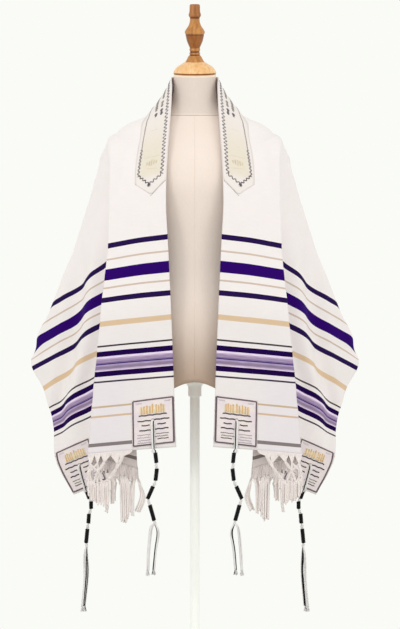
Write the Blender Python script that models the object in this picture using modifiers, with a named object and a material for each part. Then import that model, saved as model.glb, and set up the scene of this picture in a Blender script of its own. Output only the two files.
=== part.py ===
"""Tallit prayer shawl worn on a limbless dress form with a turned wooden finial.

Metres, +Z up. The origin is on the floor under the middle of the base; the front faces -Y
and the object is symmetric about X = 0.
"""
import math

import bmesh
import bpy
import numpy as np

MM = 0.001
GAP = 0.0003                    # clearance between pieces that touch

# ---- driving dimensions of the shawl ----
HALF_LENGTH = 0.957             # along the inner edge, centre back to hem
WALL = 0.002                    # thickness of the woven cloth
FOLD_OPENING = 0.009            # depth between the layers at the front fold
TUCK_OPENING = 0.012            # depth between the layers at the hidden fold
FOLD_RADIUS = 0.006
SOFT_RADIUS = 0.030             # rounding where the cloth turns softly
OPEN_RUN = 0.014                # length of cloth at a fold where it still lies open
CREASE_REACH = 0.055            # half the width of the soft crease down each wing
FLUTE_DEPTH = 0.022             # waves of the lower back edge
FLUTES_PER_SIDE = 3
FORM_CLEARANCE = 0.0035         # least distance, cloth middle to form

# The shawl hangs from rails that run along it from the centre back to each hem. A row is a
# point that a rail passes: the distance along the cloth, then how far out from the middle,
# how far back and how high the rail is there, in millimetres. Left and right are alike.
#         along   out  back    up
EDGE = ((0, 0, 57, 1452), (49, 41, 34, 1455), (89, 52, -3, 1456), (127, 51.5, -34, 1434),
        (177, 52, -58, 1391), (234, 55, -82, 1340), (298, 59, -110, 1283), (361, 62, -128, 1223),
        (424, 63, -134, 1160), (500, 59, -134, 1084), (700, 50, -131, 885), (957, 40.5, -127, 627))
BAND = ((0, 0, 80, 1372), (49, 43, 69, 1375), (89, 75, 40, 1382), (127, 98, 0, 1377),
        (177, 110, -38, 1349), (234, 120, -68, 1311), (298, 129, -93, 1263), (361, 132, -114, 1210),
        (424, 128, -124, 1149), (500, 127, -128, 1074), (700, 130, -127, 876), (957, 137, -122, 620))
FOLD = ((0, 0, 100, 1312), (75, 75, 80, 1331), (143, 137, 45, 1339), (205, 184, 4, 1325),
        (262, 189, -45, 1294), (317, 189.5, -72, 1243), (384, 190, -94, 1178), (495, 193, -110, 1068),
        (619, 205, -116, 945), (761, 218.5, -118, 805), (957, 235, -117, 611))
TUCK = ((0, 0, 112, 1280), (75, 80, 94, 1298), (143, 147, 61, 1305), (205, 197, 17, 1302),
        (262, 193, -20, 1285), (317, 188, -47, 1236), (384, 179, -68, 1174), (495, 167.5, -82, 1061),
        (619, 156.5, -89, 930), (761, 144.5, -92, 782), (957, 127, -93, 578))
SIDE = ((0, 0, 121, 1226), (75, 82, 107, 1240), (143, 154, 79, 1250), (205, 208, 34, 1275),
        (262, 222.5, 28, 1245), (317, 241, 35, 1190), (384, 263, 45, 1120), (495, 330, 75, 943),
        (565, 361, 98, 863), (619, 320, 66, 831), (761, 272, 30, 712), (854, 244.5, 1, 631),
        (957, 200, -19, 543))
SELVEDGE = ((0, 0, 150, 924), (120, 78, 160, 952), (240, 155, 168, 962), (360, 232, 165, 918),
            (475, 312, 150, 876), (565, 365, 127, 835), (619, 373, 112, 799), (671, 347, 95, 753),
            (721, 333, 80, 709), (785, 322, 65, 657), (854, 318, 56, 598), (957, 270, 40, 509))
# soft crease down each wing: distance along, how far out it runs and how deep it is, in mm
CREASE = ((380, 238, 0), (495, 245, 9), (619, 258, 12), (690, 276, 12), (740, 293, 12),
          (785, 292, 11), (870, 288, 0))
SIDE_CORNER = 6                 # place of the side rail among a section's corners
CORNER_ALONG = 0.619            # where the selvedge turns from the back to the wing
TUCK_START = 0.205              # the folds begin here, on the shoulder
TUCK_FULL = 0.330               # and have their full opening from here

# columns of the cloth's grid between neighbouring rails, and at each bend
EDGE_TO_BAND = 3
BAND_TO_FOLD = 4
LAYER_TWO = 3
WING = 10
BACK = 8
BEND = 2
ROWS_OVER_SHOULDER = 12
ROWS_HANGING = 12
ROWS_PATCH = 3
HANG_START = 0.36
PATCH_TOP = 0.104               # upper and lower edge of the corner patches, from the hem
PATCH_FOOT = 0.004

# ---- the dress form: height, half width, front depth and back depth of its rings, in mm ----
FORM_RINGS = ((757, 150, 100, 108), (800, 156, 104, 116), (870, 158, 106, 120), (950, 142, 98, 106),
              (1020, 126, 92, 94), (1090, 132, 98, 96), (1160, 148, 114, 104), (1215, 163, 124, 110),
              (1260, 175, 114, 112), (1290, 181, 98, 108), (1310, 179, 86, 100), (1325, 171, 76, 92),
              (1336, 159, 69, 84), (1346, 142, 63, 77), (1353, 125, 58, 70), (1361, 103, 54, 63),
              (1369, 83, 51, 58), (1379, 67, 48, 53), (1393, 55, 46.5, 49), (1415, 49, 45.5, 46),
              (1459.3, 47.5, 45, 45))


def cubic_through(stations, at, mirror_first=False):
    """Smooth curve through rows of (position, values...), read at one position."""
    table = np.array(stations, dtype=float)
    if mirror_first:
        ghost = table[1] * np.array([-1, -1, 1, 1])
        table = np.vstack([ghost, table])
    where, values = table[:, 0], table[:, 1:]
    slopes = np.gradient(values, where, axis=0)
    i = int(np.clip(np.searchsorted(where, at) - 1, 0, len(where) - 2))
    span = where[i + 1] - where[i]
    t = np.clip((at - where[i]) / span, 0.0, 1.0)
    return ((2 * t ** 3 - 3 * t ** 2 + 1) * values[i] + (t ** 3 - 2 * t ** 2 + t) * span * slopes[i]
            + (3 * t ** 2 - 2 * t ** 3) * values[i + 1] + (t ** 3 - t ** 2) * span * slopes[i + 1])


def rail(stations, along):
    """Point of a rail on the +X side, in metres."""
    return cubic_through(stations, along / MM, mirror_first=True) * MM


def smooth_step(low, high, value):
    t = min(max((value - low) / (high - low), 0.0), 1.0)
    return t * t * (3 - 2 * t)


def form_ring(height):
    """Half width, front depth and back depth of the dress form at a height, in metres."""
    return cubic_through(FORM_RINGS, height / MM) * MM


def clear_of_form(point, clearance):
    """Moves a point of the cloth out to where the form carries it."""
    if point[2] < FORM_RINGS[0][0] * MM - clearance or point[2] > FORM_RINGS[-1][0] * MM:
        return point
    half_width, front, back = form_ring(point[2] - clearance) + clearance
    depth = back if point[1] > 0 else front
    reach = math.hypot(point[0] / half_width, point[1] / depth)
    if reach >= 1 or reach < 1e-6:
        return point
    return np.array([point[0] / reach, point[1] / reach, point[2]])


def section_corners(along):
    """The points that one crosswise section of the cloth passes, and how each is rounded."""
    folded = smooth_step(TUCK_START, TUCK_FULL, along)
    edge, band, fold, tuck, side, selvedge = (rail(stations, along) for stations in
                                              (EDGE, BAND, FOLD, TUCK, SIDE, SELVEDGE))
    backwards = np.array([0, 1, 0])
    over_fold = (tuck - band) / np.linalg.norm(tuck - band) * OPEN_RUN
    over_tuck = (side - fold) / np.linalg.norm(side - fold) * OPEN_RUN
    fold_turn = over_fold * (1 - folded) + backwards * FOLD_OPENING * folded
    tuck_turn = over_tuck * (1 - folded) + backwards * TUCK_OPENING * folded
    corners = [edge, band, fold, fold + fold_turn, tuck, tuck + tuck_turn, side, selvedge]
    return corners, [0, SOFT_RADIUS] + [FOLD_RADIUS] * 4 + [SOFT_RADIUS, 0]


def section(along):
    """One crosswise section: a list of points from the inner edge to the outer selvedge."""
    corners, radii = section_corners(along)
    runs = [EDGE_TO_BAND, BAND_TO_FOLD, 1, LAYER_TWO, 1, WING, BACK]
    points = []
    start = corners[0]
    for i in range(1, len(corners)):
        before, corner = corners[i - 1], corners[i]
        inward = corner - before
        if i == len(corners) - 1:
            cut_start = corner
        else:
            outward = corners[i + 1] - corner
            cut = min(radii[i], 0.42 * np.linalg.norm(inward), 0.42 * np.linalg.norm(outward))
            cut = max(cut, 0.0005)
            cut_start = corner - inward * cut / max(np.linalg.norm(inward), 1e-9)
            cut_end = corner + outward * cut / max(np.linalg.norm(outward), 1e-9)
        count = runs[i - 1]
        for k in range(count):
            share = k / count
            point = start + (cut_start - start) * share
            if i == SIDE_CORNER or (i > SIDE_CORNER and along > CORNER_ALONG):
                point = wing_crease(point, inward, along)
            if i > SIDE_CORNER:
                point = point + back_flute(share, along)
            points.append(point)
        if i == len(corners) - 1:
            points.append(corner + back_flute(1.0, along))
            break
        for k in range(BEND):
            t = k / BEND
            points.append(cut_start * (1 - t) ** 2 + corner * 2 * t * (1 - t) + cut_end * t * t)
        start = cut_end
    return [clear_of_form(p, FORM_CLEARANCE) for p in points]


def wing_crease(point, run, along):
    """Soft S-shaped crease down the wing, as a shift square to the wing."""
    out, size = cubic_through(CREASE, along / MM) * MM
    x = (point[0] - out) / CREASE_REACH
    if abs(x) >= 1 or size <= 0:
        return point
    square = np.array([-run[1], run[0], 0.0])
    square /= max(np.linalg.norm(square), 1e-9)
    return point + square * size * math.sin(math.pi * x) * (1 - x * x) * 1.6


def back_flute(share, along):
    """Waves that open towards the lower edge of the back, square to it."""
    if along >= CORNER_ALONG:
        return np.zeros(3)
    turn = along / CORNER_ALONG
    size = FLUTE_DEPTH * share ** 1.4 * (1 - smooth_step(0.80, 1.0, turn))
    angle = 0.5 * math.pi * turn
    square = np.array([math.sin(angle), math.cos(angle), 0.0])
    return square * size * math.cos(2 * math.pi * FLUTES_PER_SIDE * turn)


def row_positions():
    """Distances along the cloth of the grid's rows, centre back first."""
    patch_top = HALF_LENGTH - PATCH_TOP
    patch_foot = HALF_LENGTH - PATCH_FOOT
    over = [HANG_START * i / ROWS_OVER_SHOULDER for i in range(ROWS_OVER_SHOULDER)]
    hang = [HANG_START + (patch_top - HANG_START) * i / ROWS_HANGING for i in range(ROWS_HANGING)]
    patch = [patch_top + (patch_foot - patch_top) * i / ROWS_PATCH for i in range(ROWS_PATCH + 1)]
    return over + hang + patch + [HALF_LENGTH]


class Cloth:
    """The whole shawl as a grid of points, with the direction out of its face at each."""

    def __init__(self):
        self.along = np.array(row_positions())
        right = np.array([section(along) for along in self.along])
        self.middle = len(right) - 1
        self.grid = np.concatenate([right[:0:-1] * np.array([-1, 1, 1]), right])
        down = np.gradient(self.grid, axis=0)
        over = np.gradient(self.grid, axis=1)
        outward = np.cross(down, over)
        self.outward = outward / np.linalg.norm(outward, axis=2)[:, :, None]

    def lifted(self, row, column, lift):
        """Grid point moved out of the face; a fraction lies between two columns."""
        first = int(column)
        share = column - first
        point = self.grid[row, first] + self.outward[row, first] * lift
        if share == 0:
            return point
        after = self.grid[row, first + 1] + self.outward[row, first + 1] * lift
        return point * (1 - share) + after * share

    def row_of(self, along):
        """Grid row on the +X side nearest to a distance along the cloth."""
        return self.middle + int(np.argmin(abs(self.along - along)))


# ---- building ----
NECKBAND = {"side_reach": 0.366, "tip_reach": 0.396, "thickness": 0.0012}
PATCH = {"margin": 0.006, "thickness": 0.0010}
SEAM_GAP = 0.0007               # neckband and patches, off the face of the cloth
BAND_COLUMN = EDGE_TO_BAND + 1  # the column that runs along the neckband's outer border
SIDE_COLUMN = EDGE_TO_BAND + BAND_TO_FOLD + LAYER_TWO + WING + 2 + 5 * BEND + 1   # just past the side rail
FRINGE = {"strip": 0.005, "thickness": 0.0022, "strand_every": 2, "pitch": 0.0052, "length": 0.125,
          "sway": 0.007, "joints": 2}
HEM_GAP = 0.0006                # fringe strip, below the hem
HOLE_ALONG = 0.062              # from the hem to the hole that a corner tassel hangs in
HOLE_SHARE = {"front": 0.54, "side": 0.22}    # where it lies across the patch
HEM_SHARE = {"front": 0.50, "side": 0.60}     # and where the cord passes the hem
TASSEL_SIDES = 6
CORD_STEPS = 3
# corner tassels: drop below the hem, shift towards the middle and radius, in millimetres
#               drop shift radius
FRONT_TASSEL = ((10, -1, 2.2), (18, 2, 4.2), (35, 2.5, 4.2), (41, 0, 3.2), (51, 3.5, 4.2),
                (73, 3, 4.2), (82, -1, 3.2), (88, -3, 4.2), (112, -16, 4.2), (121, -12, 3.2),
                (128, -11, 4.2), (156, -1.5, 4.2), (163, 0, 3.4))
FRONT_TAILS = (((185, -8), (233, -14), (285, -18.5)), ((187, 7.5), (233, 2), (277, -0.5)))
SIDE_TASSEL = ((7.6, -1.3, 3.6), (20, 7.6, 4.2), (27, 10, 2.4), (33, 11.7, 4.2), (46, 11.7, 4.2),
               (53, 11, 3.2), (62, 6, 4.2), (80, 6, 4.2), (87, 5.5, 3.2), (95, 2.7, 4.2),
               (124, 2.7, 4.2), (130, 2.7, 3.4))
SIDE_TAILS = (((160, -3.5), (205, -5.5), (262, -8)), ((160, 5), (192, 4.3), (268, -2)))
TAIL_RADIUS = 0.0022
CORD_RADIUS = 0.0018

NECK_TILT = 0.146               # rise per metre from front to back of the neck's top
TILT_START = 1.395
FORM_POINTS = 32
HEM_ARCH = 0.012                # how far the form's lower edge rises in the middle
ARCH_HALF_WIDTH = 0.055
SOCKET_SEAT = 0.775             # flat inside the form's lower edge, where the stand meets it
SOCKET_RADIUS = 0.034

POLE_RADIUS = 0.011
TURNED_STEPS = 20
BASE_STEPS = 48
# turned profiles, top to bottom: radius and height in millimetres
FINIAL_PROFILE = ((0, 1616), (7.5, 1615.6), (10.2, 1613.5), (10.8, 1611), (10.8, 1593), (12.8, 1591.5),
                  (12.8, 1589), (9.7, 1586.5), (10.8, 1579), (15.5, 1566), (20.5, 1555), (21.8, 1550),
                  (20.8, 1545), (16.5, 1535), (12, 1525.5), (10.6, 1520.5), (13, 1518.5), (13, 1515.5),
                  (10.8, 1514), (13, 1511.5), (13, 1508), (10.6, 1506.3), (0, 1506.3))
CAP_PROFILE = ((0, 1506), (11.0, 1506), (11.2, 1499), (13.5, 1493), (19, 1486), (29.5, 1479.5),
               (41, 1473), (46.5, 1468), (48, 1464.5), (48, 1461.2), (46.5, 1459.6), (0, 1459.6))
CAP_CENTRE_HEIGHT = 1.4596
BASE_PROFILE = ((0, 14), (60, 13.4), (174, 9), (186, 6), (188, 2), (187, 0), (0, 0))
SOCKET_PROFILE = ((0, 774.7), (33, 774.7), (34, 773.7), (34, 768), (18, 762), (15, 756), (15, 735),
                  (0, 735))
COLLAR_PROFILE = ((11.4, 52), (15, 52), (17, 50), (19, 30), (24, 20), (27, 15.2), (11.4, 15.2))


def start_scene():
    for old in list(bpy.data.objects):
        bpy.data.objects.remove(old, do_unlink=True)
    home = bpy.data.collections.new("tallit_on_dress_form")
    bpy.context.scene.collection.children.link(home)
    return home


def material(name, colour, roughness, metallic=0.0):
    made = bpy.data.materials.new(name)
    made.use_nodes = True
    shader = made.node_tree.nodes["Principled BSDF"]
    shader.inputs["Base Color"].default_value = (*colour, 1.0)
    shader.inputs["Roughness"].default_value = roughness
    shader.inputs["Metallic"].default_value = metallic
    return made


def add_object(home, name, mesh, finish):
    made = bpy.data.objects.new(name, mesh)
    mesh.materials.append(finish)
    home.objects.link(made)
    return made


def grid_mesh(name, grid):
    """Open sheet of quads through a grid of points."""
    sheet = bmesh.new()
    corners = [[sheet.verts.new(point) for point in row] for row in grid]
    for upper, lower in zip(corners, corners[1:]):
        for j in range(len(upper) - 1):
            sheet.faces.new((upper[j], lower[j], lower[j + 1], upper[j + 1]))
    mesh = bpy.data.meshes.new(name)
    sheet.to_mesh(mesh)
    sheet.free()
    mesh.shade_smooth()
    return mesh


def add_wall(made, thickness):
    wall = made.modifiers.new("Wall", "SOLIDIFY")
    wall.thickness = thickness
    wall.offset = 0.0
    wall.use_even_offset = True


def add_shawl(home, cloth, finish):
    made = add_object(home, "shawl", grid_mesh("shawl", cloth.grid), finish)
    add_wall(made, WALL)


def add_neckband(home, cloth, finish):
    """Band on the neck edge, on the cloth's own points, with a pointed end on each side."""
    lift = WALL / 2 + SEAM_GAP + NECKBAND["thickness"] / 2
    half = int(np.searchsorted(cloth.along, NECKBAND["side_reach"])) - 1
    spacing = cloth.along[half + 1] - cloth.along[half]
    grid = [[cloth.lifted(cloth.middle + i, j, lift) for j in range(BAND_COLUMN + 1)]
            for i in range(-half, half + 1)]
    for side in (-1, 1):
        last = cloth.middle + side * half
        end = []
        for j in range(BAND_COLUMN + 1):
            reach = NECKBAND["side_reach"]
            reach += (NECKBAND["tip_reach"] - reach) * (1 - abs(2 * j / BAND_COLUMN - 1))
            step = (reach - cloth.along[half]) / spacing
            end.append(cloth.lifted(last, j, lift) * (1 - step) + cloth.lifted(last + side, j, lift) * step)
        if side > 0:
            grid.append(end)
        else:
            grid.insert(0, end)
    add_wall(add_object(home, "atarah", grid_mesh("atarah", grid), finish), NECKBAND["thickness"])


def patch_columns(cloth, row, place):
    """Columns that a corner patch takes, the outermost one set in by the margin."""
    if place == "front":
        spacing = np.linalg.norm(cloth.grid[row, 1] - cloth.grid[row, 0])
        return [PATCH["margin"] / spacing] + list(range(1, BAND_COLUMN + 1))
    last = cloth.grid.shape[1] - 1
    spacing = np.linalg.norm(cloth.grid[row, last] - cloth.grid[row, last - 1])
    return list(range(SIDE_COLUMN, last)) + [last - PATCH["margin"] / spacing]


def add_patch(home, cloth, finish, place, side):
    """Corner patch: place is front or side, side is 1 for +X and -1 for -X."""
    lift = WALL / 2 + SEAM_GAP + PATCH["thickness"] / 2
    top, foot = (cloth.row_of(HALF_LENGTH - edge) for edge in (PATCH_TOP, PATCH_FOOT))
    rows = range(top, foot + 1)
    if side < 0:
        rows = [2 * cloth.middle - row for row in reversed(rows)]
    grid = [[cloth.lifted(row, column, lift) for column in patch_columns(cloth, row, place)]
            for row in rows]
    name = "patch_" + place + ("_right" if side > 0 else "_left")
    add_wall(add_object(home, name, grid_mesh(name, grid), finish), PATCH["thickness"])


def hem_between_patches(cloth):
    """Evenly spaced places on the hem from one patch to the other: point, fall and square."""
    hem = cloth.grid[-1, BAND_COLUMN + 1:SIDE_COLUMN]
    above = cloth.grid[-2, BAND_COLUMN + 1:SIDE_COLUMN]
    outward = cloth.outward[-1, BAND_COLUMN + 1:SIDE_COLUMN]
    travelled = np.concatenate([[0], np.cumsum(np.linalg.norm(np.diff(hem, axis=0), axis=1))])
    count = int(travelled[-1] / FRINGE["pitch"])
    places = []
    for k in range(count + 1):
        at = travelled[-1] * k / count
        read = [np.array([np.interp(at, travelled, line[:, axis]) for axis in range(3)])
                for line in (hem, above, outward)]
        fall = read[0] - read[1]
        places.append((read[0], fall / np.linalg.norm(fall), read[2] / np.linalg.norm(read[2])))
    return places


def add_fringe(home, cloth, finish, side):
    """Narrow strip just below the hem, with the strands drawn out of its lower faces."""
    strip = bmesh.new()
    rings = []
    flip = np.array([side, 1, 1])
    for hem, fall, outward in hem_between_patches(cloth):
        square = outward * FRINGE["thickness"] / 2
        top = hem + fall * HEM_GAP
        low = hem + fall * (HEM_GAP + FRINGE["strip"])
        rings.append([strip.verts.new(p * flip) for p in (top + square, top - square, low - square,
                                                          low + square)])
    for a, b in zip(rings, rings[1:]):
        for j in range(4):
            strip.faces.new((a[j], a[(j + 1) % 4], b[(j + 1) % 4], b[j]))
    strip.faces.new(rings[0][::-1])
    strip.faces.new(rings[-1])
    bmesh.ops.recalc_face_normals(strip, faces=strip.faces)
    roots = [face for face in strip.faces if is_low(face, rings)]
    for number, face in enumerate(roots):
        if number % FRINGE["strand_every"] == 0:
            draw_strand(strip, face, number, side)
    name = "fringe_right" if side > 0 else "fringe_left"
    mesh = bpy.data.meshes.new(name)
    strip.to_mesh(mesh)
    strip.free()
    add_object(home, name, mesh, finish)


def is_low(face, rings):
    """True for a face along the strip's lower side."""
    low = {corner for ring in rings for corner in ring[2:]}
    return all(corner in low for corner in face.verts)


def draw_strand(strip, face, number, side):
    """Pulls one strand down out of a face, in a few joints, narrowing to its end."""
    sway = side * FRINGE["sway"] * math.sin(number * 0.25)
    length = FRINGE["length"] * (0.86 + 0.14 * math.cos(number * 1.7))
    joints = FRINGE["joints"]
    for joint in range(joints):
        drawn = bmesh.ops.extrude_discrete_faces(strip, faces=[face])
        face = drawn["faces"][0]
        middle = face.calc_center_median()
        for corner in face.verts:
            corner.co = middle + (corner.co - middle) * (0.92 if joint + 1 < joints else 0.75)
            corner.co.x += sway / joints
            corner.co.z -= length / joints


def ring_at(body, centre, direction, radius):
    """Ring of corners round a centre, square to a direction."""
    across = np.cross(direction, np.array([0.0, 1.0, 0.0]))
    across /= np.linalg.norm(across)
    depth = np.cross(across, direction)
    ring = []
    for k in range(TASSEL_SIDES):
        angle = 2 * math.pi * k / TASSEL_SIDES
        spoke = across * math.cos(angle) + depth * math.sin(angle)
        ring.append(body.verts.new(centre + spoke * radius))
    return ring


def add_tassel(home, cloth, finish, place, side):
    """Corner tassel: a cord out of the hole, wraps and knots below the hem, and two tails."""
    stations, tails = (FRONT_TASSEL, FRONT_TAILS) if place == "front" else (SIDE_TASSEL, SIDE_TAILS)
    lift = WALL / 2 + SEAM_GAP + PATCH["thickness"] + GAP + CORD_RADIUS * 1.1
    foot = cloth.row_of(HALF_LENGTH)
    top = cloth.row_of(HALF_LENGTH - PATCH_TOP)
    hole_row = top + (foot - top) * (1 - HOLE_ALONG / PATCH_TOP)
    route = []
    for step in range(CORD_STEPS + 1):
        row = hole_row + (foot - hole_row) * step / CORD_STEPS
        share = HOLE_SHARE[place] + (HEM_SHARE[place] - HOLE_SHARE[place]) * step / CORD_STEPS
        upper = min(int(row), foot - 1)
        columns = patch_columns(cloth, upper, place)
        column = columns[0] + (columns[-1] - columns[0]) * share
        point = (cloth.lifted(upper, column, lift) * (upper + 1 - row)
                 + cloth.lifted(upper + 1, column, lift) * (row - upper))
        route.append((point, CORD_RADIUS))
    hem = route[-1][0]
    for drop, shift, radius in stations:
        route.append((hem + np.array([-shift, 0, -drop]) * MM, radius * MM))
    body = bmesh.new()
    rings = []
    for i, (centre, radius) in enumerate(route):
        before = route[max(i - 1, 0)][0]
        after = route[min(i + 1, len(route) - 1)][0]
        direction = (after - before) / np.linalg.norm(after - before)
        rings.append(ring_at(body, centre, direction, radius))
    for a, b in zip(rings, rings[1:]):
        for j in range(TASSEL_SIDES):
            body.faces.new((a[j], a[(j + 1) % TASSEL_SIDES], b[(j + 1) % TASSEL_SIDES], b[j]))
    body.faces.new(rings[0][::-1])
    last = rings[-1]
    halves = [body.faces.new((last[1], last[2], last[3], last[4])),
              body.faces.new((last[4], last[5], last[0], last[1]))]
    by_side = sorted(halves, key=lambda face: -face.calc_center_median().x)
    for face, tail in zip(by_side, tails):
        for drop, shift in tail:
            face = bmesh.ops.extrude_discrete_faces(body, faces=[face])["faces"][0]
            middle = face.calc_center_median()
            target = hem + np.array([-shift, 0, -drop]) * MM
            for corner in face.verts:
                offset = corner.co - middle
                offset.z = 0.0
                corner.co = target + np.array(offset.normalized()) * TAIL_RADIUS
    bmesh.ops.recalc_face_normals(body, faces=body.faces)
    if side < 0:
        for corner in body.verts:
            corner.co.x = -corner.co.x
        bmesh.ops.reverse_faces(body, faces=body.faces)
    name = "tzitzit_" + place + ("_right" if side > 0 else "_left")
    mesh = bpy.data.meshes.new(name)
    body.to_mesh(mesh)
    body.free()
    mesh.shade_smooth()
    add_object(home, name, mesh, finish)


def form_corner(ring, angle, low_edge=False):
    """Corner of one ring of the dress form; the front is at -Y."""
    height, half_width, front, back = (value * MM for value in ring)
    x = half_width * math.cos(angle)
    y = (back if math.sin(angle) > 0 else front) * math.sin(angle)
    z = height
    if height > TILT_START:
        z += NECK_TILT * y * (height - TILT_START) / (FORM_RINGS[-1][0] * MM - TILT_START)
    if low_edge:
        z += HEM_ARCH * math.exp(-(x / ARCH_HALF_WIDTH) ** 2)
    return (x, y, z)


def add_form(home, finish):
    """Limbless torso lofted through its rings, closed at the neck and under the hips."""
    body = bmesh.new()
    angles = [2 * math.pi * k / FORM_POINTS for k in range(FORM_POINTS)]
    seat = [body.verts.new((SOCKET_RADIUS * math.cos(a), SOCKET_RADIUS * math.sin(a), SOCKET_SEAT))
            for a in angles]
    rings = [seat]
    for number, ring in enumerate(FORM_RINGS):
        rings.append([body.verts.new(form_corner(ring, a, low_edge=number == 0)) for a in angles])
    for lower, upper in zip(rings, rings[1:]):
        for k in range(FORM_POINTS):
            after = (k + 1) % FORM_POINTS
            body.faces.new((lower[k], lower[after], upper[after], upper[k]))
    body.faces.new(rings[0][::-1])
    body.faces.new(rings[-1])
    bmesh.ops.recalc_face_normals(body, faces=body.faces)
    mesh = bpy.data.meshes.new("torso")
    body.to_mesh(mesh)
    body.free()
    mesh.shade_smooth()
    add_object(home, "torso", mesh, finish)


def add_turned(home, name, profile, finish, closed=False, tilt=0.0, steps=TURNED_STEPS):
    """Profile in millimetres turned about the upright axis, with an optional lean forward."""
    corners = [(radius * MM, 0.0, height * MM - CAP_CENTRE_HEIGHT if tilt else height * MM)
               for radius, height in profile]
    edges = [(i, i + 1) for i in range(len(corners) - 1)]
    if closed:
        edges.append((len(corners) - 1, 0))
    mesh = bpy.data.meshes.new(name)
    mesh.from_pydata(corners, edges, [])
    made = add_object(home, name, mesh, finish)
    turn = made.modifiers.new("Turn", "SCREW")
    turn.angle = 2 * math.pi
    turn.steps = steps
    turn.render_steps = steps
    turn.use_merge_vertices = True
    turn.merge_threshold = 0.00005
    turn.use_smooth_shade = True
    if tilt:
        made.location = (0, 0, CAP_CENTRE_HEIGHT)
        made.rotation_euler = (tilt, 0, 0)


def add_pole(home, finish):
    foot = BASE_PROFILE[0][1] * MM + GAP
    head = SOCKET_PROFILE[-1][1] * MM - GAP
    bpy.ops.mesh.primitive_cylinder_add(vertices=TURNED_STEPS, radius=POLE_RADIUS, depth=head - foot,
                                        location=(0, 0, (head + foot) / 2))
    pole = bpy.context.object
    pole.name = "pole"
    pole.data.materials.append(finish)
    for holder in list(pole.users_collection):
        holder.objects.unlink(pole)
    home.objects.link(pole)


def build():
    home = start_scene()
    wool = material("woven_white", (0.86, 0.83, 0.81), 0.85)
    satin = material("embroidered_band", (0.80, 0.76, 0.70), 0.60)
    patch_cloth = material("patch_cloth", (0.68, 0.64, 0.62), 0.70)
    yarn = material("fringe_yarn", (0.70, 0.65, 0.63), 0.85)
    cord = material("tassel_cord", (0.05, 0.05, 0.05), 0.70)
    linen = material("form_linen", (0.78, 0.68, 0.58), 0.90)
    beech = material("turned_beech", (0.55, 0.30, 0.12), 0.45)
    enamel = material("white_enamel", (0.85, 0.85, 0.84), 0.35)
    cloth = Cloth()
    add_shawl(home, cloth, wool)
    add_neckband(home, cloth, satin)
    for side in (1, -1):
        add_fringe(home, cloth, yarn, side)
        for place in ("front", "side"):
            add_patch(home, cloth, patch_cloth, place, side)
            add_tassel(home, cloth, cord, place, side)
    add_form(home, linen)
    tilt = math.atan(NECK_TILT)
    add_turned(home, "neck_cap", CAP_PROFILE, beech, tilt=tilt)
    add_turned(home, "finial", FINIAL_PROFILE, beech, tilt=tilt)
    add_turned(home, "socket", SOCKET_PROFILE, enamel)
    add_pole(home, enamel)
    add_turned(home, "base_collar", COLLAR_PROFILE, enamel, closed=True)
    add_turned(home, "base", BASE_PROFILE, enamel, steps=BASE_STEPS)


build()
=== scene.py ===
import math

import bpy
import numpy as np
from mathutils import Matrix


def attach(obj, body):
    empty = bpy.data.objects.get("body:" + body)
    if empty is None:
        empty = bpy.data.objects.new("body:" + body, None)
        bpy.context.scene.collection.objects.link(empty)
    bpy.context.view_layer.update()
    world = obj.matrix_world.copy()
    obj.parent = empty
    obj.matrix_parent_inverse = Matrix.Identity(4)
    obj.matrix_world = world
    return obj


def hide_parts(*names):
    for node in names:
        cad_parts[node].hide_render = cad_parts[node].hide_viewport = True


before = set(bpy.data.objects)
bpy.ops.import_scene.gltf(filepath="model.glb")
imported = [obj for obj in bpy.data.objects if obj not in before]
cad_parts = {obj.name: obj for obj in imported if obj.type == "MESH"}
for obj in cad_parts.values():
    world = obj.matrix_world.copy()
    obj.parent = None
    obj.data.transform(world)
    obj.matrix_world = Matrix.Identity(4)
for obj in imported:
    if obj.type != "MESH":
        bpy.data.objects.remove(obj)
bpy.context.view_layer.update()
mm = 0.001
handed = {1: "_right", -1: "_left"}  # side 1 is towards +X
print("stage: frame loaded,", len(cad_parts), "nodes")


def linear(hexColour):
    channels = [int(hexColour[i:i + 2], 16) / 255 for i in (1, 3, 5)]
    return tuple(c / 12.92 if c <= 0.04045 else ((c + 0.055) / 1.055) ** 2.4 for c in channels) + (1.0,)


def addNode(tree, kind, settings=None, inputs=None, output=0, stops=(), between="CONSTANT"):
    # adds a node with its settings, links and colour stops, and gives back one of its outputs
    node = tree.nodes.new("ShaderNode" + kind)
    for name, value in (settings or {}).items():
        setattr(node, name, value)
    for key, value in (inputs or {}).items():
        if isinstance(value, bpy.types.NodeSocket):
            tree.links.new(value, node.inputs[key])
        else:
            node.inputs[key].default_value = value
    if stops:
        band = node.color_ramp
        band.interpolation = between
        band.elements[0].position, band.elements[0].color = stops[0]
        band.elements.remove(band.elements[1])
        for position, colour in stops[1:]:
            band.elements.new(position).color = colour
    return node.outputs[output]


def startMaterial(name, settings):
    made = bpy.data.materials.new(name)
    made.use_nodes = True
    shader = made.node_tree.nodes["Principled BSDF"]
    shader.inputs["IOR"].default_value = 1.5
    for key, value in settings.items():
        shader.inputs[key].default_value = value
    return made, made.node_tree


def finishMaterial(made, colour, relief, strength, depth):
    tree = made.node_tree
    shader = tree.nodes["Principled BSDF"]
    bump = addNode(tree, "Bump", None, {"Height": relief, "Strength": strength, "Distance": depth})
    tree.links.new(colour, shader.inputs["Base Color"])
    tree.links.new(bump, shader.inputs["Normal"])
    return made


def softStep(low, high, value):
    t = np.clip((value - low) / (high - low), 0.0, 1.0)
    return t * t * (3 - 2 * t)


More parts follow.
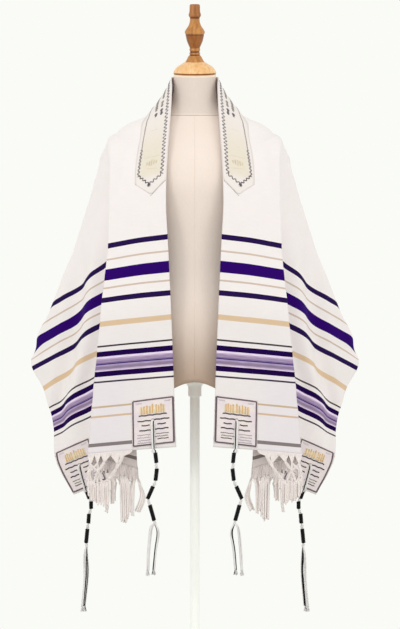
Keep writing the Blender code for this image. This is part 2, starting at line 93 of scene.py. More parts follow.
def curveThrough(stations, at, mirrorFirst=False):
    # each row is a place and its values; mirrorFirst carries a rail on over the centre line
    table = np.array(stations, dtype=float)
    if mirrorFirst:
        table = np.vstack([table[1] * np.array([-1, -1, 1, 1]), table])
    where, values = table[:, 0], table[:, 1:]
    slopes = np.gradient(values, where, axis=0)
    i = int(np.clip(np.searchsorted(where, at) - 1, 0, len(where) - 2))
    span = where[i + 1] - where[i]
    t = np.clip((at - where[i]) / span, 0.0, 1.0)
    return ((2 * t ** 3 - 3 * t ** 2 + 1) * values[i] + (t ** 3 - 2 * t ** 2 + t) * span * slopes[i]
            + (3 * t ** 2 - 2 * t ** 3) * values[i + 1] + (t ** 3 - t ** 2) * span * slopes[i + 1])


def travelled(path):
    # distance from the start to each point of a path
    return np.concatenate([[0], np.cumsum(np.linalg.norm(np.diff(path, axis=0), axis=1))])


def meshObject(name, points, faces, faceUvs, faceSlots, materials):
    mesh = bpy.data.meshes.new(name)
    mesh.from_pydata([tuple(p) for p in points], [], faces)
    layer = mesh.uv_layers.new(name="cloth")
    layer.data.foreach_set("uv", np.asarray(faceUvs, dtype=np.float32).ravel())
    for made in materials:
        mesh.materials.append(made)
    if faceSlots:
        mesh.polygons.foreach_set("material_index", faceSlots)
    mesh.shade_smooth()
    made = bpy.data.objects.new(name, mesh)
    bpy.context.scene.collection.objects.link(made)
    return made


def sheetObject(name, grid, uvs, material):
    rows, columns = grid.shape[:2]
    first = (np.arange(rows - 1)[:, None] * columns + np.arange(columns - 1)[None, :]).ravel()
    faces = np.stack([first, first + columns, first + columns + 1, first + 1], axis=1)
    faceUvs = uvs.reshape(-1, 2)[faces.ravel()]
    return meshObject(name, grid.reshape(-1, 3), faces.tolist(), faceUvs, None, [material])


def startRing(name, sides, radius, fill="NOTHING", height=0.0):
    bpy.ops.object.select_all(action="DESELECT")
    bpy.ops.mesh.primitive_circle_add(vertices=sides, radius=radius, fill_type=fill, location=(0, 0, height))
    bpy.context.object.name = name
    return bpy.context.object


def activate(piece):
    bpy.ops.object.select_all(action="DESELECT")
    piece.select_set(True)
    bpy.context.view_layer.objects.active = piece


def addWall(piece, thickness):
    wall = piece.modifiers.new("Wall", "SOLIDIFY")
    wall.thickness = thickness
    wall.offset = 0.0
    wall.use_even_offset = True
    activate(piece)
    bpy.ops.object.modifier_apply(modifier=wall.name)


def finishPiece(piece, slot, *nodes):
    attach(piece, "root")
    if nodes:
        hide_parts(*nodes)


form = {
    # height, half width, front depth and back depth, in mm
    "rings": ((757, 150, 100, 108), (800, 156, 104, 116), (870, 158, 106, 120), (950, 142, 98, 106),
              (1020, 126, 92, 94), (1090, 132, 98, 96), (1160, 148, 114, 104), (1215, 163, 124, 110),
              (1260, 175, 114, 112), (1290, 181, 98, 108), (1310, 179, 86, 100), (1325, 171, 76, 92),
              (1336, 159, 69, 84), (1346, 142, 63, 77), (1353, 125, 58, 70), (1361, 103, 54, 63),
              (1369, 83, 51, 58), (1379, 67, 48, 53), (1393, 55, 46.5, 49), (1415, 49, 45.5, 46),
              (1459.3, 47.5, 45, 45)),
    "neckTilt": 0.146, "tiltStart": 1.395, "hemArch": 0.0185, "archHalfWidth": 0.056, "hemDrop": 0.0065,
    "archPower": 1.25, "archFade": (0.757, 0.80), "around": 96, "samples": 600, "seat": 0.775,
    "seatRadius": 0.034,
    # from, to and how many: the cover's rows of points, up the body, over the shoulders, up the neck
    "rows": ((0.757, 1.30, 46), (1.306, 1.40, 24), (1.406, 1.4593, 14)),
    # how far the two rings that close the neck and the underside are drawn in
    "closeNeck": 0.86, "closeUnder": 0.90, "underRise": 0.0045, "neckSink": 0.0002,
    # seams: thread radii, height round the neck, its dip at the front, the centre seams' ends, and how
    # many points each kind has
    "ringThread": 0.0008, "lineThread": 0.00045, "neckSeam": 1.366, "neckDip": 0.003,
    "lineFrom": 0.784, "lineTo": 1.368, "ringPoints": 73, "linePoints": 90,
}
formHeights = np.linspace(form["rings"][0][0], form["rings"][-1][0], form["samples"])
formSizes = np.array([curveThrough(form["rings"], h) for h in formHeights]) * mm
formHeights = formHeights * mm


def formAt(height):
    return [np.interp(height, formHeights, formSizes[:, k]) for k in range(3)]


def formSpot(height, angle):
    halfWidth, front, back = (float(size) for size in formAt(height))
    depth = back if math.sin(angle) > 0 else front
    return np.array([halfWidth * math.cos(angle), depth * math.sin(angle), height])


def clearOfForm(points, clearance):
    halfWidth, front, back = [size + clearance for size in formAt(points[..., 2] - clearance)]
    depth = np.where(points[..., 1] > 0, back, front)
    reach = np.hypot(points[..., 0] / halfWidth, points[..., 1] / depth)
    level = (points[..., 2] > formHeights[0] - clearance) & (points[..., 2] < formHeights[-1])
    push = np.where((reach < 1) & (reach > 1e-6) & level, 1 / np.maximum(reach, 1e-6), 1.0)
    cleared = points.copy()
    cleared[..., 0] *= push
    cleared[..., 1] *= push
    return cleared


shawl = {
    "halfLength": 0.957, "width": 0.550, "wall": 0.0012,
    "foldOpening": 0.009, "tuckOpening": 0.012, "foldRadius": 0.006, "softRadius": 0.030,
    "openRun": 0.014, "clearance": 0.0032,
    # flutes down the back: depth, how it grows downwards, number, and where they fade out
    "fluteDepth": 0.022, "fluteGrowth": 1.4, "flutes": 3, "fluteFade": (0.80, 1.0),
    "cornerAlong": 0.619, "tuckStart": 0.205, "tuckFull": 0.330, "rows": 186,
    # columns of points from each corner of the section to the next, points in a bend, and the
    # number of the corner at the side; a bend takes up a share of its shorter neighbour at most
    "columns": (13, 13, 2, 14, 2, 28, 24), "bend": 5, "sideCorner": 6, "bendShare": 0.42,
    "bendLeast": 0.0005,
    # a slight unevenness that keeps the drape from looking ruled: size, then radians a metre
    # across and along for one wave, and along and across for the other, with its start
    "wander": ((0.0007, 71, 23, 47, -19, 1.3), (0.0004, 160, 40, 90, 0, 0.4)), "wanderFrom": 0.012,
    # rails on the +X side, in mm: along, out, back and up
    "edge": ((0, 0, 57, 1452), (49, 41, 34, 1453), (89, 51.5, -3, 1452), (127, 51, -34, 1431),
             (177, 52, -58, 1391), (234, 55, -82, 1340), (298, 59, -110, 1283), (361, 62, -128, 1223),
             (424, 63, -134, 1160), (500, 59, -134, 1084), (700, 50, -131, 885),
             (957, 40.5, -127, 627)),
    "band": ((0, 0, 80, 1372), (49, 43, 69, 1375), (89, 75, 40, 1382), (127, 98, 0, 1377),
             (177, 110, -38, 1349), (234, 120, -68, 1311), (298, 129, -93, 1263),
             (361, 132, -114, 1210), (424, 128, -124, 1149), (500, 127, -128, 1074),
             (700, 130, -127, 876), (957, 137, -122, 620)),
    "fold": ((0, 0, 100, 1312), (75, 75, 80, 1331), (143, 137, 45, 1339), (205, 184, 4, 1325),
             (262, 189, -45, 1294), (317, 189.5, -72, 1243), (384, 190, -94, 1178),
             (495, 193, -110, 1068), (619, 205, -116, 945), (761, 218.5, -118, 805),
             (957, 235, -117, 611)),
    "tuck": ((0, 0, 112, 1280), (75, 80, 94, 1298), (143, 147, 61, 1305), (205, 197, 17, 1302),
             (262, 193, -20, 1285), (317, 188, -47, 1236), (384, 179, -68, 1174),
             (495, 167.5, -82, 1061), (619, 156.5, -89, 930), (761, 144.5, -92, 782),
             (957, 127, -93, 578)),
    "side": ((0, 0, 121, 1226), (75, 82, 107, 1240), (143, 154, 79, 1250), (205, 208, 34, 1275),
             (262, 222.5, 28, 1245), (317, 241, 35, 1190), (384, 263, 45, 1120), (495, 330, 75, 943),
             (565, 361, 98, 863), (619, 320, 66, 831), (761, 272, 30, 712), (854, 244.5, 1, 631),
             (957, 200, -19, 543)),
    "selvedge": ((0, 0, 150, 924), (120, 78, 160, 952), (240, 155, 168, 962), (360, 232, 165, 918),
                 (475, 312, 150, 876), (565, 365, 127, 835), (619, 373, 112, 799),
                 (671, 347, 95, 753), (721, 333, 80, 709), (785, 322, 65, 657), (854, 318, 56, 598),
                 (957, 274, 40, 511)),
    # soft crease down each wing: distance along, how far out it runs and how deep it is
    "crease": ((380, 238, 0), (495, 245, 7.5), (619, 258, 9.5), (690, 276, 9.5), (740, 293, 9.5),
               (785, 292, 8.5), (870, 288, 0)),
    # its reach to each side and, counted in corners from the side's, where it comes in, where it
    # fades out high up and where it fades out below
    "creaseReach": 0.055, "creaseFades": ((-1, -0.8), (0, 0.15), (0.35, 1)), "creaseBow": 0.006,
}


def sectionCorners(along):
    folded = float(softStep(shawl["tuckStart"], shawl["tuckFull"], along))
    edge, band, fold, tuck, side, selvedge = (
        curveThrough(shawl[name], along / mm, mirrorFirst=True) * mm
        for name in ("edge", "band", "fold", "tuck", "side", "selvedge"))

    def turn(start, end, opening):
        over = (end - start) / np.linalg.norm(end - start) * shawl["openRun"]
        return over * (1 - folded) + np.array([0, 1, 0]) * opening * folded

    corners = [edge, band, fold, fold + turn(band, tuck, shawl["foldOpening"]), tuck,
               tuck + turn(fold, side, shawl["tuckOpening"]), side, selvedge]
    soft, tight = shawl["softRadius"], shawl["foldRadius"]
    return corners, [0, soft, tight, tight, tight, tight, soft, 0]


def wingCrease(points, run, along):
    # a soft S-bend; run says where each point lies, from corner to corner
    out, size = curveThrough(shawl["crease"], along / mm) * mm
    if size <= 0:
        return points
    x = np.clip((points[:, 0] - out) / shawl["creaseReach"], -1, 1)
    tangent = np.gradient(points, axis=0)
    for turn in range(6):
        tangent[1:-1] = (tangent[:-2] + 2 * tangent[1:-1] + tangent[2:]) / 4
    square = np.stack([-tangent[:, 1], tangent[:, 0], 0 * tangent[:, 0]], axis=1)
    square /= np.maximum(np.linalg.norm(square, axis=1), 1e-9)[:, None]
    behind = float(softStep(shawl["cornerAlong"] - 0.04, shawl["cornerAlong"] + 0.06, along))
    corner = shawl["sideCorner"]
    inner, outer, last = (softStep(corner + low, corner + high, run) for low, high in shawl["creaseFades"])
    hold = np.where(run < corner, inner, 1.0)
    late = np.maximum(outer * (1 - behind), last * 0.75)
    lift = size * np.sin(math.pi * x) * (1 - x * x) * 1.6 * hold * (1 - late)
    return points + square * lift[:, None]


def backFlute(share, along):
    if along >= shawl["cornerAlong"]:
        return np.zeros(3)
    turn = along / shawl["cornerAlong"]
    fade = 1 - float(softStep(*shawl["fluteFade"], turn))
    size = shawl["fluteDepth"] * share ** shawl["fluteGrowth"] * fade
    angle = 0.5 * math.pi * turn
    square = np.array([math.sin(angle), math.cos(angle), 0.0])
    return square * size * math.cos(2 * math.pi * shawl["flutes"] * turn)


def clothSection(along):
    corners, radii = sectionCorners(along)
    points, run = [], []
    start = corners[0]
    for i in range(1, len(corners)):
        corner = corners[i]
        inward = corner - corners[i - 1]
        lastOne = i == len(corners) - 1
        cutStart = corner
        if not lastOne:
            outward = corners[i + 1] - corner
            longIn, longOut = np.linalg.norm(inward), np.linalg.norm(outward)
            most = shawl["bendShare"] * min(longIn, longOut)
            cut = max(min(radii[i], most), shawl["bendLeast"])
            cutStart = corner - inward * cut / max(longIn, 1e-9)
            cutEnd = corner + outward * cut / max(longOut, 1e-9)
        count = shawl["columns"][i - 1]
        for k in range(count + lastOne):
            share = k / count
            point = start + (cutStart - start) * share
            if i > shawl["sideCorner"]:
                point = point + backFlute(share, along)
            points.append(point)
            run.append(i - 1 + share)
        if lastOne:
            break
        for k in range(shawl["bend"]):
            t = k / shawl["bend"]
            points.append(cutStart * (1 - t) ** 2 + corner * 2 * t * (1 - t) + cutEnd * t * t)
            run.append(i)
        start = cutEnd
    return wingCrease(np.array(points), np.array(run), along)


# soft creases laid over the drape: side (0 both), start and end as (along, across), depth and
# half width, in mm
softCreases = (
    (0, 150, 150, 330, 178, 2.2, 16), (0, 190, 96, 420, 120, -1.6, 14), (0, 330, 40, 640, 56, 1.2, 18),
    (1, 430, 128, 760, 150, 1.8, 17), (-1, 400, 134, 700, 128, 1.6, 15), (0, 560, 84, 900, 92, -1.1, 14),
    (1, 700, 36, 930, 30, 1.0, 13), (-1, 640, 24, 900, 36, 1.1, 12),
    (0, 250, 300, 430, 395, 3.0, 24), (0, 225, 345, 360, 430, -3.0, 22), (1, 420, 330, 560, 380, 1.8, 24),
    (-1, 430, 320, 570, 370, 2.0, 24), (1, 700, 440, 900, 425, 0.8, 20), (-1, 690, 432, 920, 420, 0.9, 18),
    (1, 20, 210, 120, 470, 5.0, 24), (-1, 30, 190, 160, 440, 4.2, 22), (0, 110, 240, 210, 480, -4.5, 20),
    (1, 170, 300, 330, 500, 4.0, 22), (-1, 200, 290, 300, 520, 3.6, 20), (0, 60, 330, 70, 520, -3.2, 18),
    (1, 280, 380, 470, 520, -3.0, 20), (-1, 300, 400, 500, 500, -2.6, 18), (0, 0, 120, 60, 150, 1.6, 14),
)


def creaseShift(along, across, side):
    shift = np.zeros_like(across)
    for place, alongStart, acrossStart, alongEnd, acrossEnd, depth, halfWidth in softCreases:
        if place not in (0, side):
            continue
        start = np.array([alongStart, acrossStart]) * mm
        line = np.array([alongEnd, acrossEnd]) * mm - start
        length = np.linalg.norm(line)
        line /= length
        off = np.stack([along - start[0], across - start[1]], axis=-1)
        run = off @ line
        away = off @ np.array([-line[1], line[0]])
        bow = shawl["creaseBow"] * np.sin(math.pi * np.clip(run / length, 0, 1)) * np.sign(depth)
        fade = softStep(-0.02, 0.35 * length, run) * (1 - softStep(0.55 * length, length + 0.02, run))
        shift -= depth * mm * fade * np.exp(-((away - bow) / (halfWidth * mm)) ** 2)
    return shift


def facing(grid):
    outward = np.cross(np.gradient(grid, axis=0), np.gradient(grid, axis=1))
    return outward / np.linalg.norm(outward, axis=2)[:, :, None]


class Cloth:
    def __init__(self):
        self.along = shawl["halfLength"] * np.linspace(0, 1, shawl["rows"])
        right = np.array([clothSection(along) for along in self.along])
        self.across = np.array([travelled(row) for row in right])
        self.middle = len(right) - 1
        grid = np.concatenate([right[:0:-1] * np.array([-1, 1, 1]), right])
        across = np.concatenate([self.across[:0:-1], self.across])
        along = np.concatenate([self.along[:0:-1], self.along])[:, None] * np.ones_like(across)
        shift = np.concatenate([creaseShift(along[:self.middle], across[:self.middle], -1),
                                creaseShift(along[self.middle:], across[self.middle:], 1)])
        wander = sum(size * np.sin(across * a + along * b) * np.sin(along * c + across * d + start)
                     for size, a, b, c, d, start in shawl["wander"])
        bound = softStep(0.0, shawl["wanderFrom"], across)
        self.grid = clearOfForm(grid + facing(grid) * ((shift + wander) * bound)[..., None],
                                shawl["clearance"])
        self.facingAll = facing(self.grid)
        self.acrossAll, self.alongAll = across, along

    def place(self, side, along, across, lift=0.0, fromSelvedge=False):
        # point over the face: along from the centre back, across from the inner edge or the selvedge
        step = self.along[1]
        i = int(min(max(along / step, 0), len(self.along) - 2))
        t = along / step - i
        found = []
        for row in (i, i + 1):
            reach = self.across[row]
            at = reach[-1] - across if fromSelvedge else across
            here = self.middle + side * row
            column = np.interp(at, reach, np.arange(len(reach)))
            j = int(min(column, len(reach) - 2))
            u = column - j
            point = self.grid[here, j] * (1 - u) + self.grid[here, j + 1] * u
            normal = self.facingAll[here, j] * (1 - u) + self.facingAll[here, j + 1] * u
            if at < 0:
                point = point + (self.grid[here, 0] - self.grid[here, 1]) * (-at / reach[1])
            found.append(point + normal * lift)
        return found[0] * (1 - t) + found[1] * t

    def normalAt(self, side, along, across, fromSelvedge):
        above = self.place(side, along, across, 0.001, fromSelvedge)
        return (above - self.place(side, along, across, 0.0, fromSelvedge)) / 0.001


cloth = Cloth()
print("stage: drape worked out,", cloth.grid.shape)

# numbered inputs: Mix has its share at 0 and its colours at 6 and 7, and Map Range has a value at 0,
# the range that it runs over at 1 and 2, and what that becomes at 3 and 4
mixed = {"data_type": "RGBA"}
tinted = {"data_type": "RGBA", "blend_type": "MULTIPLY"}
eased = {"interpolation_type": "SMOOTHSTEP"}
times = {"operation": "MULTIPLY"}
white, black = (1, 1, 1, 1), (0, 0, 0, 1)


def clothPlace(tree):
    # the piece's own UV map in metres, whole and as its two parts
    uvs = addNode(tree, "UVMap", {"uv_map": "cloth"})
    return [uvs] + [addNode(tree, "SeparateXYZ", None, {0: uvs}, part) for part in ("X", "Y")]


def threadHeight(tree, pitch, uvs):
    # plain weave: two sets of ridges, one along each thread direction
    ridges = [addNode(tree, "TexWave", {"bands_direction": direction},
                      {"Vector": uvs, "Scale": 0.314 / pitch, "Distortion": 0.6, "Detail": 1.0,
                       "Detail Scale": 2.0}, "Fac") for direction in ("X", "Y")]
    return addNode(tree, "Math", times, {0: ridges[0], 1: ridges[1]})


def speckle(tree, place, perMetre, detail):
    # cloudy pattern with its number of cells in a metre each way
    spread = addNode(tree, "Mapping", None, {"Vector": place, "Scale": perMetre})
    return addNode(tree, "TexNoise", None, {"Vector": spread, "Scale": 1.0, "Detail": detail}, "Fac")


stripes = {
    # distance from the hem in mm, where each stripe starts and ends, and its colour
    "reach": 0.5, "ground": "#F0E9E9", "lilacFrom": 178.6, "lilacTo": 212.0,
    "rows": ((17.2, 24.8, "#8A807F"), (79.4, 83.6, "#DABB9C"), (98.0, 102.2, "#CEB595"),
             (153.2, 156.4, "#453B4A"), (167.0, 178.6, "#1D0043"), (178.6, 212.0, "#917EA0"),
             (212.0, 224.0, "#1D0046"), (234.2, 237.4, "#453D40"), (279.5, 292.3, "#DEC1A0"),
             (332.6, 343.8, "#240F49"), (364.4, 367.9, "#CFB9AB"), (383.4, 409.0, "#2C0066"),
             (428.8, 432.4, "#CFBBAC"), (456.0, 467.8, "#240F49")),
    # threads inside the lilac band, from its lower to its upper edge
    "lilacThreads": ((0.0, "#E4D2E8"), (0.09, "#C0AAC8"), (0.17, "#92809B"), (0.36, "#AE9BC0"),
                     (0.47, "#321363"), (0.535, "#7E6A96"), (0.62, "#A38FAF"), (0.80, "#BDA7C7"),
                     (0.88, "#EAD9F1")),
    # painted shade on the fronts, where the cloth curves away towards the outer fold: where each fades in
    # towards the hem and out from the inner edge, in m
    "frontShades": ((0.27, 0.36, -1.0, -0.5, "#F9F9F9"), (0.15, 0.30, 0.05, 0.13, "#FAFAFF")),
    "frontEnds": (0.190, 0.215),
    # the corner turned under at the front: its painted shade, from the front layer over it, and in halves of
    # a metre where it fades in and out
    "cornerShade": "#E4DEDC", "corner": ((0.40, black), (0.42, white), (0.635, white), (0.66, black)),
    "cornerRise": (0.06, 0.10),
    # the real threads, 0.6 mm apart, are too fine to show, so they are drawn at 1.2 mm
    "pitch": 0.0012,
}
# how far the drape pulls the stripes out of line, in mm: up on the fronts, by distance from the
# hem and from the inner edge, and down on the wings
stripeDrift = {
    "hem": (21, 85, 100, 155, 220, 286, 338, 397, 461), "across": (0, 60, 120, 185),
    "fronts": ((-3, -3, -3, -3), (-0.5, -0.5, -0.5, -0.5), (1, 1, 1, 1.2), (-0.9, 0, 1.6, 3.1),
               (-0.9, 0, 1.6, 3.1), (-1.3, -0.4, 1.4, 3.1), (-0.7, 1.6, 2.9, 3.1), (0, 1.8, 1.6, 2),
               (0.2, 2.2, 1.4, 1.4)),
    "runs": (0, 0.25, 0.4, 0.55, 0.7, 1), "wingStart": 240, "wingFrom": 0.190, "wingFull": 0.245,
    "wings": ((0, 0, 0, 0, 0, 0), (0, 0, 0, 0, 0, 0), (0.5, 0.5, 0.5, 0.5, 0.5, 0.5),
              (2.1, 2.4, 2.2, 1.9, 2.5, 1.8), (2.7, 2.4, 1.8, 1.8, 4.4, 3.0),
              (4.7, 5.8, 5.4, 6.2, 6.9, 5.5), (3.8, 5.2, 7.6, 8.9, 11.1, 6.2),
              (9.6, 12.4, 13.2, 17.6, 15.8, 9.5), (10.0, 13.3, 11.4, 8.6, 3.5, 0)),
}


def readAcross(rows, hem, columns, where):
    rows = np.array(rows, dtype=float)
    byColumn = np.stack([np.interp(hem, stripeDrift["hem"], column) for column in rows.T], axis=-1)
    place = np.interp(where, columns, np.arange(float(len(columns))))
    low = np.minimum(place.astype(int), len(columns) - 2)
    share = place - low
    return (np.take_along_axis(byColumn, low[..., None], -1)[..., 0] * (1 - share)
            + np.take_along_axis(byColumn, low[..., None] + 1, -1)[..., 0] * share)


def driftAt(hem, across, wide):
    front = readAcross(stripeDrift["fronts"], hem, stripeDrift["across"], across / mm)
    first = stripeDrift["wingStart"]
    run = np.clip((across / mm - first) / np.maximum(wide / mm - first, 1), 0, 1)
    wing = readAcross(stripeDrift["wings"], hem, stripeDrift["runs"], run)
    outer = softStep(stripeDrift["wingFrom"], stripeDrift["wingFull"], across)
    return (front * (1 - outer) - wing * outer) * mm


def wovenStripes(tree, uvs, v):
    reach = stripes["reach"]
    position = addNode(tree, "Math", times, {0: v, 1: 1 / reach})
    ground = linear(stripes["ground"])
    stops = [(0.0, ground)]
    for start, end, colour in stripes["rows"]:
        stops += [(start * mm / reach, linear(colour)), (end * mm / reach, ground)]
    woven = addNode(tree, "ValToRGB", None, {0: position}, stops=stops)
    # the lilac band is woven of several shades in fine rows
    low, high = stripes["lilacFrom"] * mm, stripes["lilacTo"] * mm
    inBand = addNode(tree, "ValToRGB", None, {0: position},
                     stops=[(0.0, black), (low / reach, white), (high / reach, black)])
    acrossBand = addNode(tree, "MapRange", None, {0: v, 1: low, 2: high})
    threads = addNode(tree, "ValToRGB", None, {0: acrossBand},
                      stops=[(at, linear(colour)) for at, colour in stripes["lilacThreads"]])
    # its threads show as dashes 22 mm long and 1.3 mm wide
    dashes = speckle(tree, uvs, (45.0, 800.0, 1.0), 1.0)
    dashes = addNode(tree, "MapRange", None, {0: dashes, 1: 0.35, 2: 0.65, 3: 0.86, 4: 1.16})
    threads = addNode(tree, "Mix", tinted, {0: 1.0, 6: threads, 7: dashes}, 2)
    return addNode(tree, "Mix", mixed, {0: inBand, 6: woven, 7: threads}, 2)


def toneWhere(tree, colour, share, tone):
    # the colour times a tone, as far as share says
    toned = addNode(tree, "Mix", tinted, {0: 1.0, 6: colour, 7: linear(tone)}, 2)
    return addNode(tree, "Mix", mixed, {0: share, 6: colour, 7: toned}, 2)


def wovenShawlMaterial():
    # worsted wool, plain woven: matt, with next to no gloss
    made, tree = startMaterial("worstedWoolPlainWeave", {
        "Roughness": 0.85, "Specular IOR Level": 0.06, "Sheen Weight": 0.01, "Sheen Roughness": 0.5})
    uvs, u, v = clothPlace(tree)
    woven = wovenStripes(tree, uvs, v)
    # slubs: weft threads a little lighter or darker, in streaks 30 mm long and 1 mm wide
    streaks = speckle(tree, uvs, (34.0, 900.0, 1.0), 2.0)
    streaks = addNode(tree, "MapRange", None, {0: streaks, 3: 0.95, 4: 1.04})
    woven = addNode(tree, "Mix", tinted, {0: 1.0, 6: woven, 7: streaks}, 2)
    # painted shade: the corner turned under at the front is darker, as it lies in the shadow of the front
    # layer
    turned = addNode(tree, "MapRange", None, {0: u, 1: 0.0, 2: 0.5})
    turned = addNode(tree, "ValToRGB", None, {0: turned}, stops=stripes["corner"], between="EASE")
    low, high = stripes["cornerRise"]
    nearHem = addNode(tree, "MapRange", None, {0: v, 1: low, 2: high, 3: 1.0, 4: 0.0})
    turned = addNode(tree, "Math", times, {0: turned, 1: nearHem})
    woven = toneWhere(tree, woven, turned, stripes["cornerShade"])
    # painted shade: the fronts are a little darker towards the hem, more so away from the inner edge
    low, high = stripes["frontEnds"]
    onFront = addNode(tree, "MapRange", None, {0: u, 1: low, 2: high, 3: 1.0, 4: 0.0})
    for hemFull, hemNone, edgeNone, edgeFull, tone in stripes["frontShades"]:
        lower = addNode(tree, "MapRange", eased, {0: v, 1: hemFull, 2: hemNone, 3: 1.0, 4: 0.0})
        outer = addNode(tree, "MapRange", eased, {0: u, 1: edgeNone, 2: edgeFull})
        share = addNode(tree, "Math", times, {0: lower, 1: outer})
        woven = toneWhere(tree, woven, addNode(tree, "Math", times, {0: share, 1: onFront}), tone)
    weave = threadHeight(tree, stripes["pitch"], uvs)
    shade = addNode(tree, "MapRange", None, {0: weave, 3: 0.93, 4: 1.03})
    woven = addNode(tree, "Mix", tinted, {0: 1.0, 6: woven, 7: shade}, 2)
    relief = addNode(tree, "Math", {"operation": "MULTIPLY_ADD"}, {0: streaks, 1: 3.0, 2: weave})
    return finishMaterial(made, woven, relief, 0.30, 0.0003)


def threadMaterial(name, colour, roughness):
    # embroidery rayon: tight twisted filament with a soft gloss, mottled every 1 mm
    made, tree = startMaterial(name, {"Roughness": roughness, "Specular IOR Level": 0.3})
    spot = addNode(tree, "TexCoord", output="Object")
    mottle = speckle(tree, spot, (900.0, 900.0, 900.0), 1.0)
    shade = addNode(tree, "MapRange", None, {0: mottle, 3: 0.80, 4: 1.15})
    toned = addNode(tree, "Mix", tinted, {0: 1.0, 6: linear(colour), 7: shade}, 2)
    return finishMaterial(made, toned, mottle, 0.3, 0.0003)


def bandMaterial():
    # cotton sateen, woven closely: smoother than the wool, with a cream field inside the border
    made, tree = startMaterial("cottonSateenBand", {
        "Roughness": 0.6, "Specular IOR Level": 0.2, "Sheen Weight": 0.04})
    uvs, u, v = clothPlace(tree)
    inside = addNode(tree, "MapRange", None, {0: u, 1: 0.0, 2: 0.08})
    inside = addNode(tree, "ValToRGB", None, {0: inside}, between="EASE",
                     stops=((0.08, black), (0.24, white), (0.70, white), (0.88, black)))
    # the cream comes in down the fronts and stops short of the band's pointed end
    away = addNode(tree, "Math", {"operation": "ABSOLUTE"}, {0: v})
    lower = addNode(tree, "MapRange", eased, {0: away, 1: 0.17, 2: 0.31})
    ended = addNode(tree, "MapRange", eased, {0: away, 1: 0.343, 2: 0.365, 3: 1.0, 4: 0.0})
    share = addNode(tree, "Math", times, {0: inside, 1: lower})
    share = addNode(tree, "Math", times, {0: share, 1: ended})
    # painted shade of slight gathers, 11 mm by 3 mm: the cream goes a little lighter and darker
    gatherShade = speckle(tree, uvs, (90.0, 320.0, 1.0), 3.0)
    cream = addNode(tree, "Mix", mixed, {0: gatherShade, 6: linear("#E2D9CD"), 7: linear("#DBD0BF")}, 2)
    toned = addNode(tree, "Mix", mixed, {0: share, 6: linear("#E6DEDB"), 7: cream}, 2)
    return finishMaterial(made, toned, threadHeight(tree, 0.0009, uvs), 0.25, 0.0002)


def patchMaterial():
    # cotton twill with 1 mm ribs: matt, faintly mottled every 20 mm
    made, tree = startMaterial("cottonPatchCloth", {
        "Roughness": 0.75, "Specular IOR Level": 0.15, "Sheen Weight": 0.04})
    uvs = clothPlace(tree)[0]
    patchy = speckle(tree, uvs, (40.0, 60.0, 1.0), 2.0)
    share = addNode(tree, "MapRange", None, {0: patchy, 1: 0.38, 2: 0.62})
    toned = addNode(tree, "Mix", mixed, {0: share, 6: linear("#E8DDDA"), 7: linear("#E1D5DB")}, 2)
    return finishMaterial(made, toned, threadHeight(tree, 0.0010, uvs), 0.35, 0.0003)


def twistedYarnMaterial(name, colour, darker, pitch, roughness):
    # yarn of two plies, twisted: slanting ridges round the strand, with painted shade in the grooves between
    # the plies
    made, tree = startMaterial(name, {
        "Roughness": roughness, "Specular IOR Level": 0.15, "Sheen Weight": 0.05})
    uvs, u, v = clothPlace(tree)
    turns = addNode(tree, "Math", {"operation": "MULTIPLY_ADD"}, {0: v, 1: 1 / pitch, 2: u})
    slant = addNode(tree, "Math", times, {0: turns, 1: 2 * math.pi * 2})
    ply = addNode(tree, "Math", {"operation": "SINE"}, {0: slant})
    # painted shade: the darker colour lies in the grooves between the plies
    share = addNode(tree, "MapRange", None, {0: ply, 1: -1.0, 2: -0.2, 3: 1.0, 4: 0.0})
    toned = addNode(tree, "Mix", mixed, {0: share, 6: linear(colour), 7: linear(darker)}, 2)
    return finishMaterial(made, toned, ply, 0.5, 0.0005)


def formMaterial():
    # closely woven linen jersey stretched over a hard form: matt, no gloss
    made, tree = startMaterial("stretchedLinenCover", {
        "Roughness": 0.9, "Specular IOR Level": 0.15, "Sheen Weight": 0.04})
    spot = addNode(tree, "TexCoord", output="Object")
    # wear shows as clouds 150 to 200 mm wide
    cloudy = speckle(tree, spot, (7.0, 7.0, 5.0), 3.0)
    tone = addNode(tree, "Mix", mixed, {0: cloudy, 6: linear("#E5D6CC"), 7: linear("#ECDED5")}, 2)
    back, height = (addNode(tree, "SeparateXYZ", None, {0: spot}, part) for part in ("Y", "Z"))
    # painted shade: the cover is darker towards its lower edge, where it sits recessed between the shawl's
    # fronts
    lower = addNode(tree, "MapRange", eased, {0: height, 1: 0.74, 2: 0.97, 3: 1.0, 4: 0.0})
    tone = toneWhere(tree, tone, lower, "#C8B9AC")
    # the neck is covered by a separate piece, a shade darker
    upper = addNode(tree, "MapRange", None, {0: height, 1: 1.364, 2: 1.369, 3: 1.0, 4: 0.87})
    tone = addNode(tree, "Mix", tinted, {0: 1.0, 6: tone, 7: upper}, 2)
    # the cover's hem under the wooden cap is paler
    level = addNode(tree, "Math", {"operation": "MULTIPLY_ADD"}, {0: back, 1: -form["neckTilt"], 2: height})
    hemShare = addNode(tree, "MapRange", None, {0: level, 1: 1.4540, 2: 1.4552, 3: 0.0, 4: 0.85})
    tone = addNode(tree, "Mix", mixed, {0: hemShare, 6: tone, 7: linear("#FBE6CC")}, 2)
    # threads of 0.9 mm, drawn at 1.4 mm
    threads = speckle(tree, spot, (700.0, 700.0, 60.0), 1.0)
    grain = addNode(tree, "MapRange", None, {0: threads, 3: 0.95, 4: 1.04})
    tone = addNode(tree, "Mix", tinted, {0: 1.0, 6: tone, 7: grain}, 2)
    return finishMaterial(made, tone, threads, 0.2, 0.0003)


